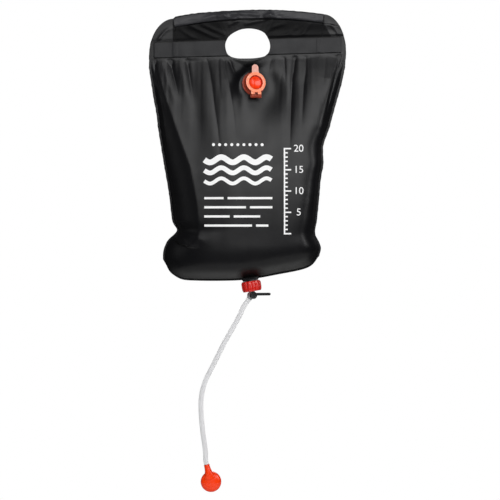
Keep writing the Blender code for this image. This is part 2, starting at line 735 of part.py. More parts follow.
def build_tap(looks, outlet):
    right = Vector((math.cos(TAP_YAW), math.sin(TAP_YAW), 0))
    outward = Vector((math.sin(TAP_YAW), -math.cos(TAP_YAW), 0))
    tap = frame_at("tap_frame", tap_centre(), right, (0, 0, 1), outward)
    half = HOUSING_HALF_LENGTH
    body = place(
        "tap_body", rod_mesh("tap_body", (0, 0, -half), (0, 0, half), HOUSING_RADIUS), looks["smoke"], tap)
    centre, along = tap_centre(), hose_direction()
    top, bottom = tail_heights()
    outlet_down = Vector((math.sin(OUTLET_TILT), 0, -math.cos(OUTLET_TILT)))
    seam = outlet_seat()
    tail_at = [seam - outlet_down * height for height in (top, bottom)]
    nipple = guide("tap_nipple", rod_mesh("tap_nipple", centre, centre + along * NIPPLE_REACH, NIPPLE_RADIUS))
    collar = guide("tap_collar", rod_mesh("tap_collar", *tail_at, TAIL_RADIUS))
    neck = guide("tap_neck", rod_mesh("tap_neck", (tail_at[0] + tail_at[1]) / 2, centre, TAP_NECK_RADIUS))
    inlet = guide("tap_inlet_bore", rod_mesh(
        "tap_inlet_bore", tail_at[0] + (tail_at[0] - centre) / 2, centre, FLOW_BORE, sides=SMALL_SIDES))
    exit_bore = guide("tap_exit_bore", rod_mesh(
        "tap_exit_bore", centre, centre + along * 2 * NIPPLE_REACH, FLOW_BORE, sides=SMALL_SIDES))
    plug_bore = guide("plug_bore", rod_mesh(
        "plug_bore", (0, 0, -2 * half), (0, 0, 2 * half), PLUG_RADIUS + GAP), tap)
    combine(body, "UNION", neck, collar, nipple)
    combine(body, "DIFFERENCE", inlet, exit_bore, plug_bore)
    build_plug(looks, tap, along, outward)
    build_lever(looks, tap)


def build_plug(looks, tap, along, outward):
    half = HOUSING_HALF_LENGTH
    groove = TAP_O_RING_CORD + 2 * GAP
    groove_floor = PLUG_RADIUS - TAP_O_RING_CORD - GAP
    button = half + RETAINER_THICKNESS + 2 * GAP
    plug = place("tap_plug", turned_mesh("tap_plug", [
        (0, -button - BUTTON_THICKNESS), (BUTTON_RADIUS, -button - BUTTON_THICKNESS),
        (BUTTON_RADIUS, -button), (SHANK_RADIUS, -button), (SHANK_RADIUS, -half), (PLUG_RADIUS, -half),
        (PLUG_RADIUS, O_RING_PLACE - groove / 2), (groove_floor, O_RING_PLACE - groove / 2),
        (groove_floor, O_RING_PLACE + groove / 2), (PLUG_RADIUS, O_RING_PLACE + groove / 2),
        (PLUG_RADIUS, half), (SHANK_RADIUS, half), (SHANK_RADIUS, half + SHANK_REACH),
        (0, half + SHANK_REACH),
    ], SMALL_SIDES), looks["black"], tap)
    shut = Matrix.Rotation(math.pi / 2, 3, outward) @ along
    centre = tap_centre()
    across = guide("plug_flow_bore", rod_mesh(
        "plug_flow_bore", centre - shut * 2 * PLUG_RADIUS, centre + shut * 2 * PLUG_RADIUS, FLOW_BORE,
        sides=SMALL_SIDES))
    combine(plug, "DIFFERENCE", across)
    middle = PLUG_RADIUS - TAP_O_RING_CORD / 2
    place(
        "tap_o_ring", cord_ring_mesh("tap_o_ring", middle, TAP_O_RING_CORD, O_RING_PLACE),
        looks["rubber"], tap)
    ring_high = -half - GAP
    place("tap_retaining_ring", turned_mesh("tap_retaining_ring", [
        (SHANK_RADIUS + GAP, ring_high), (SHANK_RADIUS + GAP, ring_high - RETAINER_THICKNESS),
        (RETAINER_RADIUS, ring_high - RETAINER_THICKNESS), (RETAINER_RADIUS, ring_high),
    ], SMALL_SIDES, ring=True), looks["steel"], tap)


def build_lever(looks, tap):
    low = HOUSING_HALF_LENGTH + GAP
    high = low + LEVER_HUB_HEIGHT
    edge = LEVER_HUB_HEIGHT / 4
    socket, floor = SHANK_RADIUS + GAP, HOUSING_HALF_LENGTH + SHANK_REACH + GAP
    lever = place("tap_lever", turned_mesh("tap_lever", [
        (0, floor), (socket, floor), (socket, low), (LEVER_HUB_RADIUS, low), (LEVER_HUB_RADIUS, high - edge),
        (LEVER_HUB_RADIUS - edge, high), (0, high),
    ]), looks["black"], tap)
    half = LEVER_THICKNESS / 2
    start = socket + (LEVER_HUB_RADIUS - socket) / 2
    tip = LEVER_REACH - half
    turns = [math.pi * i / TINY_SIDES - math.pi / 2 for i in range(TINY_SIDES + 1)]
    outline = [(start, LEVER_RISE + half), (start, LEVER_RISE - half)]
    outline += [(tip + half * math.cos(turn), LEVER_RISE + half * math.sin(turn)) for turn in turns]
    arm = guide("lever_arm", prism_mesh("lever_arm", outline, low, low + LEVER_DEPTH), tap)
    combine(lever, "UNION", arm)


# Shower head

def head_axes():
    """Right, up along the neck, and forward directions of the head."""
    up = Vector((-math.sin(HEAD_TILT), 0, math.cos(HEAD_TILT)))
    forward = Vector((0, -1, 0))
    return up.cross(forward), up, forward


def head_centre():
    return Vector((HEAD_X, 0, -HEAD_DROP))


def neck_top():
    """Where the head's neck takes the hose."""
    up, forward = head_axes()[1:]
    return head_centre() + up * HEAD_NECK_LENGTH + forward * HEAD_NECK_STANDOFF


def dome_profile(radius, height, rim):
    """A shallow dome over a straight rim, from the axis outward and down, and back along the open side."""
    turns = [math.pi / 2 * i / DOME_STEPS for i in range(DOME_STEPS + 1)]
    dome = [(radius * math.sin(turn), height * math.cos(turn)) for turn in turns]
    return [*dome, (radius, -rim), (0, -rim)]


def build_head(looks):
    right, up, forward = head_axes()
    head = frame_at("head_frame", head_centre(), right, up, forward)
    standoff = HEAD_NECK_STANDOFF
    shell = place("head_shell", turned_mesh(
        "head_shell", dome_profile(HEAD_RADIUS, HEAD_DOME, HEAD_RIM)), looks["orange"], head)
    neck = guide("head_neck", rod_mesh(
        "head_neck", (0, HEAD_NECK_END, standoff), (0, HEAD_NECK_LENGTH, standoff), HEAD_NECK_ROOT_RADIUS,
        HEAD_NECK_RADIUS), head)
    inside = HEAD_RADIUS - HEAD_WALL
    cavity = guide("head_cavity", turned_mesh(
        "head_cavity", dome_profile(inside, HEAD_DOME - HEAD_WALL, CUT_OVERRUN)), head)
    bore = guide("head_bore", rod_mesh(
        "head_bore", (0, HEAD_NECK_END, standoff), (0, HEAD_NECK_LENGTH + CUT_OVERRUN, standoff), HEAD_BORE,
        sides=SMALL_SIDES), head)
    combine(shell, "UNION", neck)
    combine(shell, "DIFFERENCE", cavity, bore)
    build_rose(looks, head, inside - GAP)


def build_rose(looks, head, radius):
    low, high = -HEAD_RIM, -HEAD_RIM + ROSE_THICKNESS
    rose = place(
        "rose_plate", rod_mesh("rose_plate", (0, 0, low), (0, 0, high), radius), looks["orange"], head)
    for share, count in zip(ROSE_RING_SHARES, ROSE_RING_COUNTS):
        for i in range(count):
            turn = math.tau * i / count
            x, y = share * radius * math.cos(turn), share * radius * math.sin(turn)
            hole = guide(f"rose_hole_{count}_{i}", rod_mesh(
                f"rose_hole_{count}_{i}", (x, y, low - CUT_OVERRUN), (x, y, high + CUT_OVERRUN),
                ROSE_HOLE_RADIUS, sides=TINY_SIDES), head)
            combine(rose, "DIFFERENCE", hole)
    middle = radius - HEAD_SEAL_INSET - HEAD_SEAL_CORD / 2
    height = high + GAP + HEAD_SEAL_CORD / 2
    place("head_seal", cord_ring_mesh(
        "head_seal", middle, HEAD_SEAL_CORD, height, ROUND_SIDES), looks["rubber"], head)


# Hose

def build_hose(looks):
    """A round tube, square to the nipple and to the head's neck where it meets them."""
    along = hose_direction()
    start = tap_centre() + along * (NIPPLE_REACH + GAP)
    up = head_axes()[1]
    end = neck_top() + up * GAP
    standoff = end.y
    middle = []
    for x, drop in HOSE_ROUTE:
        share = smooth_step((drop + start.z) / (start.z - end.z))
        middle.append(Vector((x, standoff * share, -drop)))
    points = [start + along * HOSE_SEATING, *middle, end + up * HOSE_SEATING]
    curve = bpy.data.curves.new("hose", "CURVE")
    curve.dimensions = "3D"
    curve.bevel_depth = HOSE_RADIUS
    curve.bevel_resolution = 2
    curve.use_fill_caps = True
    line = curve.splines.new("POLY")
    route = [start, *curve_through(points, HOSE_STEPS), end]
    line.points.add(len(route) - 1)
    for point, place_on_route in zip(line.points, route):
        point.co = (*place_on_route, 1)
    made = bpy.data.objects.new("hose", curve)
    bpy.context.scene.collection.objects.link(made)
    curve.materials.append(looks["clear"])
    length = sum((b - a).length for a, b in zip(route, route[1:]))
    print(f"hose: {len(route)} points, {length:.4f} m")


def build():
    clear_scene()
    looks = {
        "sheet": material("black_pvc", (0.022, 0.022, 0.024), 0.38),
        "strip": material("grey_black_pvc", (0.040, 0.040, 0.044), 0.45),
        "rod": material("white_plastic", (0.75, 0.75, 0.74), 0.5),
        "orange": material("orange_plastic", (0.85, 0.10, 0.02), 0.25),
        "red": material("red_plastic", (0.70, 0.04, 0.03), 0.25),
        "black": material("black_plastic", (0.015, 0.015, 0.016), 0.4),
        "smoke": material("smoke_plastic", (0.45, 0.46, 0.47), 0.3),
        "clear": material("clear_hose", (0.82, 0.83, 0.84), 0.3),
        "rubber": material("rubber", (0.03, 0.03, 0.03), 0.8),
        "steel": material("spring_steel", (0.55, 0.55, 0.56), 0.35, 1.0),
    }
    tilt = OUTLET_TILT
    outlet = frame_at(
        "outlet_frame", outlet_seat(), (math.cos(tilt), 0, math.sin(tilt)), (0, 1, 0),
        (-math.sin(tilt), 0, math.cos(tilt)))
    filler = build_bag(looks, outlet)
    build_filler(looks, filler)
    build_outlet(looks, outlet)
    build_tap(looks, outlet)
    build_head(looks)
    build_hose(looks)


build()
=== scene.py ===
from math import cos, hypot, pi, radians, sin, sqrt, tau

import bmesh
import bpy
import numpy as np
from mathutils import Matrix, Vector


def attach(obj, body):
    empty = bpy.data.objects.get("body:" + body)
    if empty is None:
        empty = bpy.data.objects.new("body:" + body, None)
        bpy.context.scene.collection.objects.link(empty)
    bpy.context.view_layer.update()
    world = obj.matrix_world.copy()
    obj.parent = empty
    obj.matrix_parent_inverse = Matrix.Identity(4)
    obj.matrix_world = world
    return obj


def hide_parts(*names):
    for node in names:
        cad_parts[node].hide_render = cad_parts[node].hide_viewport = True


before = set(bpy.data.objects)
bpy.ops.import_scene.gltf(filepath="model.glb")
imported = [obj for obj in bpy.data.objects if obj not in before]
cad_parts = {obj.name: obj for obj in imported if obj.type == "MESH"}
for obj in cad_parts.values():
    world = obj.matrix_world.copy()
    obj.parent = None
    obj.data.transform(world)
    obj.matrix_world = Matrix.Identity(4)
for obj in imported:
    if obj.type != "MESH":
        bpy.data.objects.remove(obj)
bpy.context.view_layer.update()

# The photograph's frame: its pixels across the bag's plane, centred on this point
PIXELS, PIXEL = 500, 0.00204
CENTRE = Vector((0.0029, 0.0, -0.4519))
CAMERA_LENS, CAMERA_SENSOR = 120.0, 36.0
FARTHEST, TINY = 40, 1e-6
# The origin's place in the photograph's pixels
ORIGIN_X, ORIGIN_Y = 248.6, 28.5


def make_camera():
    """Level with the middle of the hanging object, square to its front."""
    data = bpy.data.cameras.new("camera")
    data.lens, data.sensor_width, data.clip_end = CAMERA_LENS, CAMERA_SENSOR, FARTHEST
    distance = PIXELS * PIXEL * CAMERA_LENS / CAMERA_SENSOR
    made = placed("camera", data)
    made.location = CENTRE + Vector((0, -distance, 0))
    made.rotation_euler = (pi / 2, 0, 0)
    bpy.context.scene.camera = made


def placed(name, data):
    """A new object in the scene."""
    made = bpy.data.objects.new(name, data)
    bpy.context.scene.collection.objects.link(made)
    return made


def link(name, data, looks):
    for look in looks:
        data.materials.append(LOOKS[look])
    return placed(name, data)


def belongs(made, body, node):
    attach(made, body)
    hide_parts(node)


def meshed(name, bm):
    mesh = bpy.data.meshes.new(name)
    bm.to_mesh(mesh)
    bm.free()
    return mesh


# Materials

# noise scales and details of the clouds of colour, the patches of gloss and the bump, then the bump's depth
FILM_NOISE, FILM_GRAIN, FILM_DEPTH = ((14, 4), (38, 3), (900, 2)), 0.10, 0.0004
MOULD_NOISE, MOULD_PEEL, MOULD_DEPTH = ((60, 3), (150, 2), (420, 2)), 0.06, 0.0003
MOULD_ROUGHNESS = (0.8, 1.25)
NOISE_LOW, NOISE_HIGH = 0.3, 0.7


def with_values(node, values):
    for key, value in values.items():
        node.inputs[key.replace("_", " ")].default_value = value
    return node


def new_node(tree, kind, **values):
    return with_values(tree.nodes.new("ShaderNode" + kind), values)


def new_material(name, color, roughness, **values):
    """A Principled BSDF; returns the material, its tree and its shader."""
    look = bpy.data.materials.new(name)
    look.use_nodes = True
    values = dict(Base_Color=(*color, 1), Roughness=roughness, **values)
    return look, look.node_tree, with_values(look.node_tree.nodes["Principled BSDF"], values)


def noise(tree, scale, detail):
    node = new_node(tree, "TexNoise", Scale=scale, Detail=detail)
    tree.links.new(tree.nodes.new("ShaderNodeTexCoord").outputs["Object"], node.inputs["Vector"])
    return node.outputs["Fac"]


def ramp(tree, source, low, high):
    """Maps the middle of a noise's values to a range."""
    node = new_node(tree, "MapRange", From_Min=NOISE_LOW, From_Max=NOISE_HIGH, To_Min=low, To_Max=high)
    tree.links.new(source, node.inputs["Value"])
    return node.outputs["Result"]


def mix_color(tree, factor, first, second):
    node = tree.nodes.new("ShaderNodeMix")
    node.data_type = "RGBA"
    factor_in, first_in, second_in = (node.inputs[place] for place in (0, 6, 7))
    first_in.default_value, second_in.default_value = (*first, 1), (*second, 1)
    tree.links.new(factor, factor_in)
    return node.outputs[2]


def textured(made, colors, roughnesses, noises, strength, depth):
    """Gives a new material clouds of two colours, patches of gloss and a fine bump."""
    look, tree, shader = made
    cloud, patch, grain = (noise(tree, *values) for values in noises)
    tree.links.new(mix_color(tree, cloud, *colors), shader.inputs["Base Color"])
    tree.links.new(ramp(tree, patch, *roughnesses), shader.inputs["Roughness"])
    bump = new_node(tree, "Bump", Strength=strength, Distance=depth)
    tree.links.new(grain, bump.inputs["Height"])
    tree.links.new(bump.outputs["Normal"], shader.inputs["Normal"])
    return look


def film(name, dark, light, roughnesses, shine=0.3):
    """Black PVC film in two near greys: fine grain, faint cloudy sheen and a little unevenness in colour."""
    dark, light = ((grey, grey, blue) for grey, blue in (dark, light))
    made = new_material(name, light, roughnesses[0], Specular_IOR_Level=shine)
    return textured(made, (dark, light), roughnesses, FILM_NOISE, FILM_GRAIN, FILM_DEPTH)


def moulding(name, color, second, roughness, peel=MOULD_PEEL, **values):
    """Moulded plastic: slight colour drift, flow marks and a faint orange-peel skin."""
    made = new_material(name, color, roughness, **values)
    range_of = [roughness * share for share in MOULD_ROUGHNESS]
    return textured(made, (color, second), range_of, MOULD_NOISE, peel, MOULD_DEPTH)


LOOKS = {
    "film": film("black_film", (0.003, 0.0035), (0.0050, 0.0060), (0.35, 0.41)),
    # darker copies of the film, in steps from the darkest to nearly the film's own: painted shade for the
    # header's recess, under the hole's rim and round the outlet's foot; the darkest also lines the header's
    # outer edge
    "recess": film("black_film_darkest", (0.001, 0.0013), (0.003, 0.0034), (0.42, 0.48), 0.1),
    "painted_shade_dim": film("black_film_dim", (0.0013, 0.0016), (0.0034, 0.0038), (0.41, 0.47), 0.14),
    "painted_shade_mid": film("black_film_mid", (0.0017, 0.002), (0.0038, 0.0043), (0.40, 0.46), 0.18),
    "painted_shade_pale": film("black_film_pale", (0.0022, 0.0025), (0.0043, 0.0050), (0.38, 0.44), 0.23),
    "strip": film("strip_film", (0.006, 0.0072), (0.010, 0.0117), (0.41, 0.51)),
    "hem": film("hem_film", (0.020, 0.0225), (0.032, 0.0355), (0.40, 0.52)),
    # near-black lines: painted shadow lines along the strips' top and bottom edges, and the dark band along
    # the hem's top
    "line": film("dark_edge_and_shadow_line", (0.002, 0.002), (0.003, 0.003), (0.5, 0.6)),
    # orange of the cap's rim and the filler parts: on the rim its paleness against the dish's deep red is
    # partly translucent plastic and partly painted light
    "orange": moulding("orange_plastic", (0.92, 0.26, 0.14), (0.98, 0.32, 0.19), 0.22,
                       Subsurface_Weight=0.25, Subsurface_Scale=0.004, Coat_Weight=0.3, Coat_Roughness=0.1),
    "orange_deep": moulding("orange_deep", (0.76, 0.030, 0.002), (0.86, 0.052, 0.006), 0.26, peel=0.02),
    # dark red ring on the cap recess's wall: painted shadow
    "orange_wall_painted_shadow": moulding("orange_wall_painted_shadow", (0.36, 0.012, 0.002), (0.44, 0.020, 0.004), 0.3),
    # paler pinkish orange of the cap's pull tab and grips: painted sheen
    "orange_painted_sheen": moulding("orange_painted_sheen", (0.66, 0.33, 0.27), (0.74, 0.38, 0.31), 0.24, peel=0.02),
    # darker orange of the filler's spout and the hinge ears: painted shade
    "orange_painted_shade": moulding("orange_painted_shade", (0.22, 0.028, 0.012), (0.30, 0.040, 0.016), 0.3),
    "red": moulding("red_plastic", (0.53, 0.008, 0.004), (0.61, 0.013, 0.007), 0.32, peel=0.0,
                    Coat_Weight=0.75, Coat_Roughness=0.28),
    "head": moulding("orange_red_plastic", (0.88, 0.040, 0.001), (0.92, 0.047, 0.001), 0.24, peel=0.0,
                     Specular_IOR_Level=0.5),
    "hose": moulding("clear_hose", (0.69, 0.69, 0.70), (0.74, 0.74, 0.75), 0.34, peel=0.0,
                     Sheen_Weight=0.8, Sheen_Roughness=0.35, Diffuse_Roughness=1.0),
    "black": moulding("black_plastic", (0.005, 0.005, 0.006), (0.009, 0.009, 0.010), 0.40, peel=0.02),
    "smoke": moulding("smoke_plastic", (0.34, 0.35, 0.36), (0.42, 0.43, 0.44), 0.22,
                      Transmission_Weight=0.15, IOR=1.45),
    "rubber": moulding("seal_rubber", (0.02, 0.02, 0.02), (0.03, 0.03, 0.03), 0.75),
    "steel": moulding("spring_steel", (0.55, 0.55, 0.56), (0.62, 0.62, 0.63), 0.3, Metallic=1.0),
    "rod": moulding("white_rod", (0.70, 0.70, 0.68), (0.78, 0.78, 0.77), 0.45),
    "ink": moulding("white_ink", (0.76, 0.76, 0.76), (0.84, 0.84, 0.84), 0.5),
}


# Bag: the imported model's own sizes, as part.py has them, in metres. The tables give shares of them:
# the sides by half the width at shares of the length, the bottom edge across and the swell down the chamber

BAG_WIDTH, BAG_LENGTH, HALF_DEPTH = 0.403, 0.553, 0.060
SHEET, SHEET_INNER = 0.0006, 0.00015
EDGE_WELD = 0.005
TILT = 0.0295
LEFT_SIDE = (
    (0.10, -1.008), (0.15, -1.006), (0.19, -0.990), (0.23, -0.974), (0.27, -0.956), (0.31, -0.935),
    (0.375, -0.913), (0.49, -0.862), (0.61, -0.806), (0.69, -0.781), (0.72, -0.762), (0.742, -0.722),
    (0.757, -0.745), (0.78, -0.816), (0.814, -0.858), (0.84, -0.868), (0.87, -0.862),
)
RIGHT_SIDE = (
    (0.10, 0.986), (0.15, 0.972), (0.205, 0.941), (0.24, 0.914), (0.285, 0.879), (0.335, 0.842),
    (0.375, 0.811), (0.41, 0.774), (0.445, 0.753), (0.50, 0.758), (0.555, 0.732), (0.635, 0.712),
    (0.705, 0.693), (0.756, 0.672), (0.78, 0.704), (0.81, 0.733), (0.84, 0.713),
)
BOTTOM_EDGE = (
    (0.0, 0.843), (0.03, 0.890), (0.07, 0.911), (0.12, 0.926), (0.2, 0.930), (0.35, 0.931),
    (0.5, 0.9285), (0.62, 0.920), (0.73, 0.908), (0.85, 0.895), (0.92, 0.884), (0.965, 0.868),
    (1.0, 0.835),
)
DEPTHS = (
    (0.0, 0.0), (0.03, 0.064), (0.09, 0.20), (0.2, 0.42), (0.31, 0.595), (0.42, 0.73), (0.5, 0.80),
    (0.57, 0.865), (0.66, 0.92), (0.74, 0.95), (0.80, 0.962), (0.86, 0.963), (0.91, 0.94), (0.95, 0.85),
    (0.98, 0.56), (1.0, 0.0),
)
HEM_TOP, HEM_CROWN, HEM_HALF, HEM_HEIGHT, HEM_TUCK = 0.0375, 0.013, 0.152, 0.017, 0.0025
CORNER_DROP = 0.076
STRIP_LOW, STRIP_HEIGHT, STRIP_BACK, STRIP_FRONT, STRIP_INSET = -0.0556, 0.034, 0.00105, 0.00255, 0.0095
DIP, DIP_REACH = 0.0115, 0.062
HOLE_WIDTH, HOLE_HEIGHT = 0.0912, 0.0612
HOLE_OUTLINE = (
    (0.0, 0.0), (0.19, 0.035), (0.34, 0.134), (0.425, 0.30), (0.479, 0.53), (0.46, 0.766),
    (0.367, 0.917), (0.165, 0.985), (-0.071, 1.0), (-0.29, 0.984), (-0.46, 0.873), (-0.521, 0.583),
    (-0.482, 0.36), (-0.387, 0.195), (-0.197, 0.045),
)
FILLER = Vector((0.0096, -0.019605, -0.1153))
FILLER_AXES = Matrix((
    (0.945519, -0.04531, 0.3224), (0.325568, 0.131591, -0.936317), (0.0, 0.990268, 0.139173),
))


def spline(padded, steps):
    """A Catmull-Rom curve through all points but the first and the last, without its end."""
    route = []
    for a, b, c, d in zip(padded, padded[1:], padded[2:], padded[3:]):
        for t in np.linspace(0, 1, steps, endpoint=False):
            bend = (2 * a - 5 * b + 4 * c - d) * t**2 + (3 * b - a - 3 * c + d) * t**3
            route.append(0.5 * (2 * b + (c - a) * t + bend))
    return route


def curve_through(points, steps):
    return [*spline([points[0], *points, points[-1]], steps), points[-1]]


def smooth_ring(points, steps):
    points = [np.array(point) for point in points]
    return np.array(spline([points[-1], *points, *points[:2]], steps))


CURVE_POINTS, CURVE_STEPS = 1600, 8
SIDE_ROUNDING, BOTTOM_ROUNDING, DEPTH_ROUNDING = 0.0055, 0.012, 0.014


def softened(table, width):
    """A table of places and values as a dense smooth curve, rounded over a given share of its length."""
    at = np.linspace(0, 1, CURVE_POINTS)
    points = curve_through([Vector(point) for point in table], CURVE_STEPS)
    value = np.interp(at, [point.x for point in points], [point.y for point in points])
    spread = width * CURVE_POINTS
    reach = int(3 * spread)
    kernel = np.exp(-0.5 * (np.arange(-reach, reach + 1) / spread) ** 2)
    padded = np.concatenate([np.full(reach, value[0]), value, np.full(reach, value[-1])])
    return at, np.convolve(padded, kernel / kernel.sum(), "valid")


LEFT_CURVE, RIGHT_CURVE = (softened(table, SIDE_ROUNDING) for table in (LEFT_SIDE, RIGHT_SIDE))
BOTTOM_CURVE, DEPTH_CURVE = softened(BOTTOM_EDGE, BOTTOM_ROUNDING), softened(DEPTHS, DEPTH_ROUNDING)


def smooth_step(share):
    share = np.clip(share, 0, 1)
    return share * share * (3 - 2 * share)


def eased(value, start_and_length):
    """0 at a start, 1 a length past it."""
    start, length = start_and_length
    return smooth_step((value - start) / length)


def hem_line(x):
    return HEM_TOP + TILT * x - HEM_CROWN * (x / HEM_HALF) ** 2


def strip_line(x):
    return STRIP_LOW + TILT * x


def chamber_top(x):
    return strip_line(x) - DIP * (1 + np.cos(np.pi * np.minimum(np.abs(x) / DIP_REACH, 1))) / 2


def side(z, curve):
    return BAG_WIDTH / 2 * np.interp(-z / BAG_LENGTH, *curve)


def top_line(x):
    """The sheets' upper edge: inside the hem, and round the corners past its ends."""
    end = np.sign(x) * HEM_HALF
    widest = np.where(x < 0, side(0.0, LEFT_CURVE), side(0.0, RIGHT_CURVE))
    share = np.clip((x - end) / (widest - end), 0, 1)
    corner = hem_line(end) - CORNER_DROP * (1 - np.sqrt(1 - share**2))
    return np.where(np.abs(x) < HEM_HALF - HEM_TUCK, hem_line(x) - HEM_HEIGHT + HEM_TUCK, corner)


def bottom(u):
    return -BAG_LENGTH * np.interp(u, *BOTTOM_CURVE)


def pixels(x, z):
    """Places in the photograph's pixels."""
    return ORIGIN_X + x / PIXEL, ORIGIN_Y - z / PIXEL


def along_path(px, py, path):
    """Signed distance in pixels to a path of (x, y, strength) points, and the strength there."""
    best = np.full(px.shape, np.inf)
    signed, strength = np.zeros(px.shape), np.zeros(px.shape)
    for (ax, ay, a_strong), (bx, by, b_strong) in zip(path, path[1:]):
        dx, dy = bx - ax, by - ay
        share = np.clip(((px - ax) * dx + (py - ay) * dy) / (dx * dx + dy * dy), 0, 1)
        ex, ey = px - ax - share * dx, py - ay - share * dy
        distance = np.hypot(ex, ey)
        nearer = distance < best
        turn = np.where(dx * ey - dy * ex > 0, -1.0, 1.0)
        best = np.where(nearer, distance, best)
        signed = np.where(nearer, distance * turn, signed)
        strength = np.where(nearer, a_strong + (b_strong - a_strong) * share, strength)
    return signed, strength


FADE_START, FADE_STEPS = 0.45, 4


def fading(path):
    """A path of (x, y) points as a smooth one of (x, y, strength), which fades out over its lower half."""
    if len(path[0]) == 3:
        return path
    smooth = curve_through([Vector(point) for point in path], FADE_STEPS)
    fades = 1 - smooth_step((np.linspace(0, 1, len(smooth)) - FADE_START) / (1 - FADE_START))
    return [(point.x, point.y, float(fade)) for point, fade in zip(smooth, fades)]


def fold(px, py, path, width, height):
    """A ridge, or with a negative height a valley, along a path."""
    distance, strength = along_path(px, py, fading(path))
    return height * strength * np.exp(-((distance / width) ** 2))


PLEAT_GAIN, PLEAT_FLOOR, RIDGE_TOP = 1.5, 0.3, 0.2
TUCK_BACK, TUCK_LIP, TUCK_RISE, TUCK_DROP = 2.2, 0.35, 1.4, 5


def rounded_peak(away, blunt):
    """Falls off from 1 by a straight exponential, with its tip blunted."""
    return np.exp(-(np.sqrt(away**2 + blunt**2) - blunt))


def pleat(px, py, path, width, depth):
    """A sharp valley: straight dark flanks that ease out, on either side of a narrow floor."""
    distance, strength = along_path(px, py, fading(path))
    return -PLEAT_GAIN * depth * strength * rounded_peak(distance / width, PLEAT_FLOOR / width)


def ridge(px, py, path, left, right, height):
    """A blunt edge between two faces, of different widths to its left and its right."""
    distance, strength = along_path(px, py, path)
    away = np.where(distance > 0, distance / left, distance / right)
    return height * strength * rounded_peak(away, RIDGE_TOP)


def tuck(px, py, path, width, height):
    """A sharp crease: high on the path's left hand, dropping at once on its right and coming back slowly."""
    distance, strength = along_path(px, py, path)
    s = distance / width
    lip = TUCK_LIP * np.exp(s * TUCK_RISE) - (1 + TUCK_LIP) * np.exp(s * TUCK_DROP)
    return height * strength * np.where(s > 0, -np.exp(-s / TUCK_BACK), lip)


def waves(px, py, seed, height, count, low, high, angle_low, angle_high):
    """A sum of seeded sine waves, of wavelengths from low to high pixels."""
    random = np.random.default_rng(seed)
    total = np.zeros(px.shape)
    for _ in range(count):
        length = low * (high / low) ** random.random()
        angle = angle_low + (angle_high - angle_low) * random.random()
        phase = random.random() * tau
        along = px * cos(angle) + py * sin(angle)
        total += np.sin(along * tau / length + phase) * length / high
    return height * (total / sqrt(count))


# Folds of the front sheet, in the photograph's pixels: centre line, width there, and height in metres

FRONT_FOLDS = (
    # broad forms of the chamber
    (((196, 56, 0.7), (197, 90, 1), (199, 118, 1), (203, 150, 0.5), (208, 175, 0)), 8, -0.0022),
    (((224, 56, 0.1), (225.5, 68, 0.6), (227, 80, 1), (229, 100, 0.8), (232, 125, 0)), 11, 0.0030),
    (((277, 60, 0.5), (275, 95, 1), (273, 130, 1), (275, 160, 0.3), (278, 185, 0)), 11, -0.0005),
    (((296, 62, 0.2), (295, 85, 1), (293, 108, 0.8), (290, 140, 0)), 13, -0.0030),
    (((314, 57, 0), (313, 70, 0.6), (312, 85, 1), (309, 125, 0.8), (304, 165, 0)), 12, 0.0026),
    (((163, 57, 0.3), (166, 72, 1), (172, 92, 0.8), (177, 108, 0)), 4, 0.0016),
    (((180.5, 57, 0.4), (183, 72, 1), (187, 92, 0.8), (191, 112, 0)), 4, 0.0012),
    (((195, 252, 0), (250, 250, 1), (305, 250, 0)), 9, 0.0012),
)
# sharp pleats: dark flanks either side of a line
FRONT_PLEATS = (
    (((154.5, 60), (155.7, 77), (160, 92), (164, 105), (168, 122)), 3.0, 0.0022),
    (((169.5, 56), (171.5, 66), (175.5, 82), (179.5, 99)), 3.0, 0.0028),
    (((186.5, 56), (189, 72), (191.5, 88), (194.5, 106)), 2.6, 0.0020),
    (((206, 56), (208.4, 66), (212, 85), (215, 110), (218.5, 134), (221, 166), (222, 190)), 2.4, 0.0010),
    (((218.4, 56), (220, 85), (221.5, 106)), 1.3, 0.0004),
    (((223.7, 56), (226, 72), (229, 85), (232, 104), (235, 128), (237, 150)), 1.8, 0.0009),
    (((228, 55), (232, 68), (236.7, 79), (239.8, 92), (241, 101)), 1.8, 0.0020),
    (((271.7, 56), (269, 68), (266, 80)), 2.2, 0.0008),
    (((280.9, 56), (282.4, 69), (280, 85), (278.6, 108), (277, 130)), 3.0, 0.0005),
    (((284, 56), (284.7, 69), (285.5, 84)), 1.0, 0.0008),
    (((295, 57), (293.4, 71), (292, 82), (291, 100), (290, 123), (289.3, 146), (288.5, 176)), 2.4, 0.0022),
    (((306, 56), (305.4, 73), (303.8, 85), (302.3, 108), (300.8, 130)), 2.6, 0.0011),
    (((326, 56), (323.8, 77), (322, 93)), 1.6, 0.0004),
    (((340.5, 57), (336, 73), (332.2, 88.5), (328.3, 104), (324.5, 123), (320.7, 142), (318.4, 163)),
     3.0, 0.0030),
)
